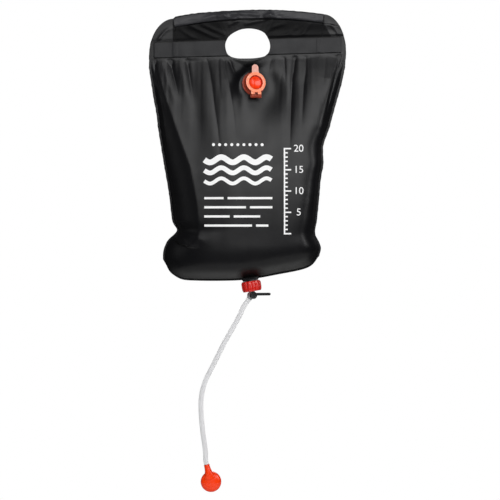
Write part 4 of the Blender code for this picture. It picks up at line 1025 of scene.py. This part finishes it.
OUTLET_FRAME = frame_at(0.0039, -0.512526, (cos(OUTLET_TILT), 0, sin(OUTLET_TILT)), (0, 1, 0))
TAP_FRAME = frame_at(0.0062, -0.544026, (cos(TAP_YAW), sin(TAP_YAW), 0), (0, 0, 1))
HEAD_FRAME = frame_at(-0.0767, -0.9247, (cos(HEAD_TILT), 0, sin(HEAD_TILT)), HEAD_UP)
FILLER_FRAME = (FILLER, FILLER_AXES)
HINGE_Y, HINGE_Z, HINGE_RADIUS, KNUCKLE_RADIUS, PIN_HOLE = -0.028, 0.012, 0.004, 0.0032, 0.0018
LEAF_INSET, EARS, KNUCKLE = 0.0002, ((-0.011, -0.0030), (0.0030, 0.011)), (-0.0027, 0.0027)
# root, low and high face of the hinge's arms
EAR_ARM, KNUCKLE_ARM = (-0.01765, 0.0141, 0.0159), (-0.01785, 0.0083, 0.0115)
SPOUT_WALL = (
    (0.0162, 0.0003), (0.024, 0.0003), (0.024, 0.0019), (0.0232, 0.0023), (0.0222, 0.0019),
    (0.0215, 0.0023), (0.0195, 0.0043), (0.0195, 0.0066), (0.0201, 0.0070), (0.0201, 0.0078),
    (0.0195, 0.0082), (0.0195, 0.012), (0.0162, 0.012),
)


def hinge_leaf(near, far, root, low, high, radius=HINGE_RADIUS):
    """A hinge barrel along X between two places, and the arm that carries it."""
    eye = barrel((near, HINGE_Y, HINGE_Z), (far, HINGE_Y, HINGE_Z), radius, bore=PIN_HOLE)
    outer = HINGE_Y + (HINGE_RADIUS + PIN_HOLE) / 2
    near, far = near + LEAF_INSET, far - LEAF_INSET
    return eye, slab([(near, outer), (far, outer), (far, root), (near, root)], low, high, "plain")


def build_spout():
    """The filler's base flange, welded to the sheet, with its spout and the hinge's middle knuckle."""
    knuckle = hinge_leaf(*KNUCKLE, *KNUCKLE_ARM, radius=KNUCKLE_RADIUS)
    # the spout and its knuckle are in darker orange, painted shade
    moulded("filler_spout", "filler_neck", "bag", FILLER_FRAME, ["orange_painted_shade"],
            [lathed(SPOUT_WALL, "spout", MOST, closed=True), *knuckle])


RIM_LOW, RIM_HIGH, CAP_RADIUS, RECESS = 0.0138, 0.0170, 0.021, 0.0143
DISH_LOW, DISH_RISE, DISH_REACH = 0.0095, 0.0032, 0.0125
RIM_OUTLINE = (
    (RECESS - 0.0002, 0.0145), (RECESS, 0.0160), (RECESS + 0.0010, RIM_HIGH), (CAP_RADIUS, RIM_HIGH),
    (CAP_RADIUS, RIM_LOW), (0.0158, RIM_LOW), (0.0150, 0.0080), (0, 0.0080),
)
TAB_SIDE = ((0.0098, 0.0165), (0.0078, 0.0208), (0.0070, 0.0240))
TAB_RADIUS, TAB_END, TAB_HIGH = 0.007, 0.030, 0.0166
LID_GRIPS, LID_GRIP_HALF, LID_GRIP_HIGH, LID_GRIP_RADIUS = (0.0290, 0.0315), 0.0036, 0.0164, 0.0006
EARS_TOP, TAB_START, TAB_LOW = HINGE_Y + 0.0068, CAP_RADIUS + 0.0006, RIM_LOW + 0.0003
LOOK_SEAM, WALL_SEAM = 0.0002, 0.0003
LID_LOOKS = ["orange_deep", "orange", "orange_painted_shade", "orange_painted_sheen", "orange_wall_painted_shadow"]


def lid_look(centre):
    """The look of a place on the cap: ears in darker orange as painted shade, the pull tab in paler orange as
    painted sheen, the recess's wall in dark red as painted shadow, the dish, or the rim, whose paler orange
    is partly its translucent plastic and partly painted light.
    """
    reach = hypot(centre.x, centre.y)
    if centre.y < EARS_TOP:
        return "orange_painted_shade"
    if centre.y > TAB_START:
        return "orange_painted_sheen"
    if DISH_REACH < reach < RECESS + WALL_SEAM and centre.z > DISH_LOW:
        return "orange_wall_painted_shadow"
    return "orange_deep" if reach < RECESS + LOOK_SEAM or centre.z < RIM_LOW + LOOK_SEAM else "orange"


def build_lid():
    """The cap: a dished recess in a thick rim, with a pull tab above and two hinge ears below."""
    dish = [(DISH_REACH * share, DISH_LOW + DISH_RISE * share**2) for share in np.linspace(0, 1, DISH_STEPS)]
    tip = arc(0, TAB_END, TAB_RADIUS, 0, pi, TAB_STEPS)
    tab = [*TAB_SIDE, *tip, *((-x, y) for x, y in TAB_SIDE[::-1])]
    solids = [lathed([*dish, *RIM_OUTLINE], "rim", MOST), slab(tab, TAB_LOW, TAB_HIGH, "tab")]
    for grip in LID_GRIPS:
        ends = [(way * LID_GRIP_HALF, grip, LID_GRIP_HIGH) for way in (-1, 1)]
        solids.append(barrel(*ends, LID_GRIP_RADIUS, fillet="lid_grip", segments=GRIP_ROUND))
    for ear in EARS:
        solids += hinge_leaf(*ear, *EAR_ARM)
    moulded("filler_lid", "filler_cap", "filler_cap_body", FILLER_FRAME, LID_LOOKS, solids,
            look_at=lid_look)


FOOT_LOW, FOOT_MIDDLE, FOOT_HIGH = -0.0022, 0.004, 0.010
FOOT_WIDTHS = (FOOT_LOW, 0.0, FOOT_MIDDLE, FOOT_HIGH), (0.0152, 0.0166, 0.0195, 0.0215)
FOOT_DEPTHS = (FOOT_LOW, FOOT_MIDDLE, FOOT_HIGH), (0.0098, 0.0080, 0.0030)
THREADS, THREAD_PITCH, THREAD_HALF, THREAD_CREST = 3, 0.003, 0.001, 0.0118
TUBE_RADIUS, TUBE_BORE, TUBE_LOW, TUBE_CUT = 0.0113, 0.006, -0.0142, 0.03


def build_foot():
    """The outlet's black foot, narrowing from the seam down to the nut, and its threaded tube."""
    foot = lathed([(0, FOOT_HIGH), (1, FOOT_HIGH), (1, FOOT_LOW), (0, FOOT_LOW)], "foot")
    for vert in foot.verts:
        height = vert.co.z
        vert.co.x *= np.interp(height, *FOOT_WIDTHS)
        vert.co.y *= np.interp(height, *FOOT_DEPTHS)
    tube = [(0, 0), (TUBE_RADIUS, 0)]
    for turn in range(1, THREADS + 1):
        middle = FOOT_LOW - THREAD_PITCH * turn
        for radius, way in ((TUBE_RADIUS, 1), (THREAD_CREST, 0), (TUBE_RADIUS, -1)):
            tube.append((radius, middle + THREAD_HALF * way))
    tube += [(TUBE_RADIUS, TUBE_LOW), (0, TUBE_LOW)]
    moulded("outlet_foot", "outlet_spigot", "bag", OUTLET_FRAME, ["black"],
            [foot, turned(tube, SOME, closed=False)], [pillar(TUBE_CUT, TUBE_BORE)])


NUT_HIGH, NUT_LOW, NUT_STEP = -0.0027, -0.0237, 0.0042
NUT_WIDE, NUT_NARROW, NUT_BORE, NUT_NECK = 0.0205, 0.0182, 0.0126, 0.0078
NUT_WALL = (
    (NUT_BORE, NUT_HIGH), (NUT_NARROW, NUT_HIGH), (0.0198, NUT_HIGH - NUT_STEP / 2),
    (NUT_WIDE, NUT_HIGH - NUT_STEP), (NUT_WIDE, NUT_LOW + 2 * NUT_STEP), (0.0199, NUT_LOW + 0.8 * NUT_STEP),
    (NUT_NARROW, NUT_LOW), (NUT_NECK, NUT_LOW), (NUT_NECK, -0.0201), (NUT_BORE, -0.0201),
)
LOBES, GROOVE_DEPTH, GROOVE_BLEND = 12, 0.0018, 0.0012


def lobed(radius, turn):
    groove = 1 - abs(sin(LOBES / 2 * turn))
    return radius - GROOVE_DEPTH * groove * float(smooth_step((radius - NUT_NARROW) / GROOVE_BLEND))


def build_union_nut():
    """The outlet's union nut: barrel shaped, with twelve lobes between sharp grooves."""
    wall = lathed(NUT_WALL, "nut", 3 * MANY, closed=True, reshaped=lobed)
    moulded("union_nut", "outlet_nut", "nut_body", OUTLET_FRAME, ["red"], [wall])


HOUSING_RADIUS, COLLAR_RADIUS, NECK_RADIUS = 0.0068, 0.0115, 0.006
NIPPLE_RADIUS, NIPPLE_LENGTH = 0.0056, 0.0093
PLUG_BORE, FLOW_BORE, COLLAR_ENDS = 0.0050, 0.0023, (0.0168, 0.0198)
HOUSING_HALF, HOUSING_CUT, TAIL_CUT = 0.008, 0.02, 1.5


def build_tap_housing():
    """The tap's body: a collar held by the nut, a neck, a cross housing and the nipple inside the hose."""
    centre = Vector((0, 0, 0))
    place, axes = TAP_FRAME
    back = axes.inverted()
    down = Vector((sin(OUTLET_TILT), 0, -cos(OUTLET_TILT)))
    tail = [back @ (OUTLET_FRAME[0] + down * height - place) for height in COLLAR_ENDS]
    along = back @ HOSE_ALONG
    solids = [pillar(HOUSING_HALF, HOUSING_RADIUS, fillet="housing", segments=SOME),
              barrel(*tail, COLLAR_RADIUS, segments=SOME),
              barrel((tail[0] + tail[1]) / 2, centre, NECK_RADIUS, segments=SOME),
              barrel(centre, centre + along * NIPPLE_LENGTH, NIPPLE_RADIUS, fillet="nipple", segments=SOME)]
    cuts = [pillar(HOUSING_CUT, PLUG_BORE),
            barrel(centre, centre + along * HOUSING_CUT, FLOW_BORE, segments=FEW),
            barrel(centre, tail[0] * TAIL_CUT, FLOW_BORE, segments=FEW)]
    moulded("tap_housing", "tap_body", "bag", TAP_FRAME, ["smoke"], solids, cuts)


DISC_LOW, DISC_HIGH = 0.0083, 0.0135
DISC_OUTLINE = (
    (0, 0.0128), (0.0028, 0.0128), (0.0028, DISC_LOW), (0.0073, DISC_LOW), (0.0073, DISC_HIGH),
    (0.0056, DISC_HIGH), (0.0050, DISC_HIGH - 0.0005), (0, DISC_HIGH - 0.0005),
)
ARM_START, ARM_END = ((0.0050, 0.0050), (0.0050, -0.0006)), (0.0342, 0.0022)
ARM_RADIUS, ARM_HIGH, ARM_GRIPS = 0.0028, 0.0125, (0.0275, 0.0295, 0.0315)
ARM_GRIP_ENDS, ARM_GRIP_HIGH, ARM_GRIP_RADIUS = (0.0006, 0.0038), 0.0124, 0.0005


def build_handle():
    """The tap's lever: a thick disc with a shallow dish in its face, and a ribbed arm."""
    tip = arc(*ARM_END, ARM_RADIUS, -pi / 2, pi / 2, ARM_STEPS)
    arm = slab([*ARM_START, *tip], DISC_LOW, ARM_HIGH, "arm")
    solids = [lathed(DISC_OUTLINE, "disc", MEDIUM), arm]
    for grip in ARM_GRIPS:
        ends = [(grip, y, ARM_GRIP_HIGH) for y in ARM_GRIP_ENDS]
        solids.append(barrel(*ends, ARM_GRIP_RADIUS, fillet="arm_grip", segments=GRIP_ROUND))
    moulded("tap_handle", "tap_lever", "lever_body", TAP_FRAME, ["black"], solids)


HEAD_RADIUS, DOME_HEIGHT, SHELL_WALL, RIM_Z, RIM_CORNER = 0.021, 0.009, 0.0018, -0.0035, 0.0004
NECK_RISE, NECK_BORE, NECK_SQUASH, NECK_ROUND, NECK_BLEND = 0.0035, 0.0028, 0.45, 0.024, 0.016
NECK_FLARE = (
    (0, 0.006), (0.0126, 0.006), (0.0104, 0.0140), (0.0080, 0.0195), (0.0066, 0.0250), (0.0057, 0.0320),
    (0.0055, 0.037), (0, 0.037),
)
BEAD, BEAD_Y = ((0.0040, -0.0007), (0.0061, -0.0007), (0.0061, 0.0007), (0.0040, 0.0007)), 0.0350
HOLLOW_LOW, BORE_ENDS, ROSE_CUT, NOZZLE_ENDS = -0.02, (0.006, 0.05), 0.01, (0.0004, 0.0006)
ROSE_HIGH, ROSE_RADIUS, ROSE_CORNER = -0.0017, 0.0189, 0.0012
ROSE_OUTLINE = (
    (0, ROSE_HIGH), (ROSE_RADIUS, ROSE_HIGH), (ROSE_RADIUS, RIM_Z), (ROSE_RADIUS - ROSE_CORNER, RIM_Z),
    (0, RIM_Z),
)
ROSE_HOLES, HOLE_BORE, NOZZLE = ((0.0, 1), (0.34, 6), (0.68, 12)), 0.0009, (0.0019, 0.0014)


def dome(radius, height):
    return [(radius * sin(turn), height * cos(turn)) for turn in np.linspace(0, pi / 2, DOME_STEPS)]


def build_head():
    """The shower head: a domed shell with its neck, and the rose plate with a nozzle round each hole."""
    rim = [(HEAD_RADIUS, RIM_Z + RIM_CORNER), (HEAD_RADIUS - RIM_CORNER, RIM_Z), (0, RIM_Z)]
    solid = turned([*dome(HEAD_RADIUS, DOME_HEIGHT), *rim], MOST, closed=False)
    radius, height = HEAD_RADIUS - SHELL_WALL, DOME_HEIGHT - SHELL_WALL
    inner = dome(radius, height)[:0:-1]
    hollow = turned([(0, HOLLOW_LOW), (radius, HOLLOW_LOW), *inner, (0, height)], closed=False)
    bore = barrel(*((0, y, NECK_RISE) for y in BORE_ENDS), NECK_BORE, segments=FEW)
    neck = lathed(NECK_FLARE, "neck", MEDIUM)
    stand_up = Matrix.Translation((0, 0, NECK_RISE)) @ Matrix.Rotation(-pi / 2, 4, "X")
    bmesh.ops.transform(neck, matrix=stand_up, verts=neck.verts)
    for vert in neck.verts:
        lean = float(smooth_step((NECK_ROUND - vert.co.y) / NECK_BLEND))
        vert.co.z = NECK_RISE + (vert.co.z - NECK_RISE) * (1 - NECK_SQUASH * lean)
    bead = lathed(BEAD, "bead", SOME, closed=True)
    bmesh.ops.transform(bead, matrix=Matrix.Translation((0, BEAD_Y, 0)) @ stand_up, verts=bead.verts)
    moulded("head_cover", "head_shell", "bag", HEAD_FRAME, ["head"], [solid, neck, bead],
            [hollow, bore])
    solids, cuts = [lathed(ROSE_OUTLINE, "rose")], []
    for share, count in ROSE_HOLES:
        for i in range(count):
            angle, reach = tau * i / count, share * ROSE_RADIUS
            x, y = reach * cos(angle), reach * sin(angle)
            ends = [(x, y, face - past) for face, past in zip((ROSE_HIGH, RIM_Z), NOZZLE_ENDS)]
            solids.append(barrel(*ends, *NOZZLE, fillet="nozzle", segments=NOZZLE_ROUND))
            cuts.append(pillar(ROSE_CUT, HOLE_BORE, x, y, segments=GRIP_ROUND))
    moulded("rose", "rose_plate", "bag", HEAD_FRAME, ["head"], solids, cuts)


# Print: a plain generic design in white ink, laid out in the photograph's pixels

INK_RISE, INK_THICKNESS, INK_STEP, INK_LONGEST = 0.00022, 0.00012, 1.3, 1.5
WAVES_LEFT, WAVES_RIGHT, WAVES_TOP, WAVE_GAP, WAVE_WIDTHS = 205, 272, 161, 10.5, (5.6, 4.6, 3.6)
WAVE_LENGTH, WAVE_RISE = 22.3, 2.6
DOTS, DOTS_LEFT, DOTS_RIGHT, DOTS_Y, DOT_RADIUS, DOT_CORNERS = 9, 214, 262, 146, 1.5, 16
# height, start and end of each bar
BAR_WIDTH, BARS = 2.2, (
    (199, 205, 224), (199, 228, 272), (208, 205, 246), (208, 250, 272), (217, 205, 230), (217, 234, 260),
    (226, 205, 252), (226, 256, 268),
)
SCALE_X, SCALE_LOW, SCALE_HIGH, SCALE_TOP_LEVEL, SCALE_LINE, SCALE_FIVES = 284, 234, 150, 20, 1.4, 5
MARK_START, MARK_SHORT, MARK_LONG, NUMBER_AWAY, NUMBER_SIZE = 0.6, 3.2, 6.5, 14, 10


def ink_line(bm, route, width):
    """A line of even width through (x, y) points."""
    pairs = []
    for i, point in enumerate(route):
        before, after = Vector(route[max(i - 1, 0)]), Vector(route[min(i + 1, len(route) - 1)])
        aside = (after - before).orthogonal().normalized() * width / 2
        pairs.append([bm.verts.new((*(Vector(point) + aside * way), 0)) for way in (-1, 1)])
    for one, other in zip(pairs, pairs[1:]):
        bm.faces.new((one[0], one[1], other[1], other[0]))


def ink_bar(bm, start, end, width):
    start, end = Vector(start), Vector(end)
    count = max(2, round((end - start).length / INK_STEP) + 1)
    ink_line(bm, [tuple(start.lerp(end, share)) for share in np.linspace(0, 1, count)], width)


def ink_number(bm, text, x, y):
    """A plain number, centred on a place."""
    curve = bpy.data.curves.new("number", "FONT")
    curve.body, curve.size = text, NUMBER_SIZE
    curve.align_x, curve.align_y = "CENTER", "CENTER"
    made = placed("number", curve)
    mesh = evaluated(made)
    mesh.transform(Matrix.Translation((x, y, 0)) @ Matrix.Diagonal((1, -1, 1, 1)))
    bm.from_mesh(mesh)
    bpy.data.objects.remove(made)


def build_print():
    bm = bmesh.new()
    for level, width in enumerate(WAVE_WIDTHS):
        x = np.arange(WAVES_LEFT, WAVES_RIGHT, 1.0)
        y = WAVES_TOP + WAVE_GAP * level + WAVE_RISE * np.sin(tau * (x - WAVES_LEFT) / WAVE_LENGTH)
        ink_line(bm, list(zip(x, y)), width)
    for x in np.linspace(DOTS_LEFT, DOTS_RIGHT, DOTS):
        rim = arc(x, DOTS_Y, DOT_RADIUS, 0, tau, DOT_CORNERS + 1)[:-1]
        bm.faces.new([bm.verts.new((*point, 0)) for point in rim])
    for y, start, end in BARS:
        ink_bar(bm, (start, y), (end, y), BAR_WIDTH)
    ink_bar(bm, (SCALE_X, SCALE_LOW + SCALE_LINE / 2), (SCALE_X, SCALE_HIGH - SCALE_LINE / 2), SCALE_LINE)
    for level in range(SCALE_TOP_LEVEL + 1):
        y = SCALE_LOW + (SCALE_HIGH - SCALE_LOW) * level / SCALE_TOP_LEVEL
        reach = MARK_SHORT if level % SCALE_FIVES else MARK_LONG
        ink_bar(bm, (SCALE_X + MARK_START, y), (SCALE_X + reach, y), SCALE_LINE)
        if level and level % SCALE_FIVES == 0:
            ink_number(bm, str(level), SCALE_X + NUMBER_AWAY, y)
    bmesh.ops.triangulate(bm, faces=[face for face in bm.faces if len(face.verts) > 4])
    long_edges = [edge for edge in bm.edges if edge.calc_length() > INK_LONGEST * INK_STEP]
    bmesh.ops.subdivide_edges(bm, edges=long_edges, cuts=2)
    places = np.array([vert.co for vert in bm.verts])
    x, z = (places[:, 0] - ORIGIN_X) * PIXEL, -(places[:, 1] - ORIGIN_Y) * PIXEL
    for vert, place in zip(bm.verts, zip(x, front_face(x, z) - INK_RISE, z)):
        vert.co = place
    bmesh.ops.remove_doubles(bm, verts=bm.verts, dist=TINY)
    for face in bm.faces:
        face.normal_update()
        if face.normal.y > 0:
            face.normal_flip()
    made = link("print", meshed("print", bm), ("ink",))
    thickened(made, INK_THICKNESS)
    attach(made, "bag")


# Stage and light

FLOOR_RADIUS, FLOOR_Z, FLOOR_NOISE = 0.85, -1.10, (4, 3)
FLOOR_COLORS, FLOOR_ROUGHNESS = ((0.80, 0.80, 0.79), (0.84, 0.84, 0.83)), 0.6
WHITE, DIM, BRIGHT = (1, 1, 1, 1), 0.035, 1.0
LIGHT_TARGET = Vector((0.0, 0.0, -0.35))
# name, place, size, power, and whether reflections show it
LIGHTS = (
    ("key", (0.38, -2.1, 0.72), (1.84, 1.55), 38, True),
    ("right_strip", (1.9, -1.2, 0.3), (0.4, 1.4), 12, True),
    ("left_strip", (-1.9, -0.62, -0.1), (0.35, 1.2), 1.0, True),
    ("front_fill", (-0.3, -2.4, -0.3), (1.6, 1.6), 24, False),
    ("back_fill", (0.4, 2.2, 1.0), (1.6, 1.2), 35, True),
)


def build_stage():
    bm = bmesh.new()
    bmesh.ops.create_circle(bm, cap_ends=True, segments=MANY, radius=FLOOR_RADIUS)
    bmesh.ops.translate(bm, verts=bm.verts, vec=(0, 0, FLOOR_Z))
    look, tree, shader = new_material("pale_floor", FLOOR_COLORS[0], FLOOR_ROUGHNESS)
    tree.links.new(mix_color(tree, noise(tree, *FLOOR_NOISE), *FLOOR_COLORS), shader.inputs["Base Color"])
    mesh = meshed("floor", bm)
    mesh.materials.append(look)
    placed("floor", mesh)
    world = bpy.context.scene.world = bpy.data.worlds.new("studio")
    world.use_nodes = True
    tree = world.node_tree
    tree.nodes.clear()
    output, path, mix = (new_node(tree, kind) for kind in ("OutputWorld", "LightPath", "MixShader"))
    dim, bright = (new_node(tree, "Background", Color=WHITE, Strength=strength) for strength in (DIM, BRIGHT))
    for source, target in zip((path.outputs["Is Camera Ray"], dim.outputs[0], bright.outputs[0]), mix.inputs):
        tree.links.new(source, target)
    tree.links.new(mix.outputs[0], output.inputs["Surface"])
    for name, place, size, power, glossy in LIGHTS:
        data = bpy.data.lights.new(name, "AREA")
        data.shape, data.energy = "RECTANGLE", power
        data.size, data.size_y = size
        made = placed(name, data)
        made.location = place
        made.rotation_euler = (LIGHT_TARGET - Vector(place)).to_track_quat("-Z", "Y").to_euler()
        made.visible_camera, made.visible_glossy = False, glossy
    view = bpy.context.scene.view_settings
    view.view_transform, view.look = "Standard", "None"


NODE_LOOKS = {
    "rod": ("stiffening_rod",), "orange": ("filler_neck", "filler_cap", "filler_hinge_pin"),
    "rubber": ("filler_seal", "outlet_gasket", "tap_o_ring", "head_seal"), "red": ("outlet_nut",),
    "black": ("outlet_spigot", "tap_plug", "tap_lever"), "head": ("head_shell", "rose_plate"),
    "smoke": ("tap_body",), "steel": ("tap_retaining_ring",),
}

make_camera()
build_hose()
for build in (
    build_spout, build_lid, build_foot, build_union_nut, build_tap_housing, build_handle, build_head,
):
    build()
build_stage()
front, back = build_sheets()
build_print()
hem = build_hem()
band_left = build_strip("band_left", side(0.0, LEFT_CURVE) + STRIP_INSET, -HOLE_WIDTH / 3)
band_right = build_strip("band_right", HOLE_WIDTH / 3, side(0.0, RIGHT_CURVE) - STRIP_INSET)
for look, nodes in NODE_LOOKS.items():
    for node in nodes:
        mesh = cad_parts[node].data
        mesh.materials.clear()
        mesh.materials.append(LOOKS[look])
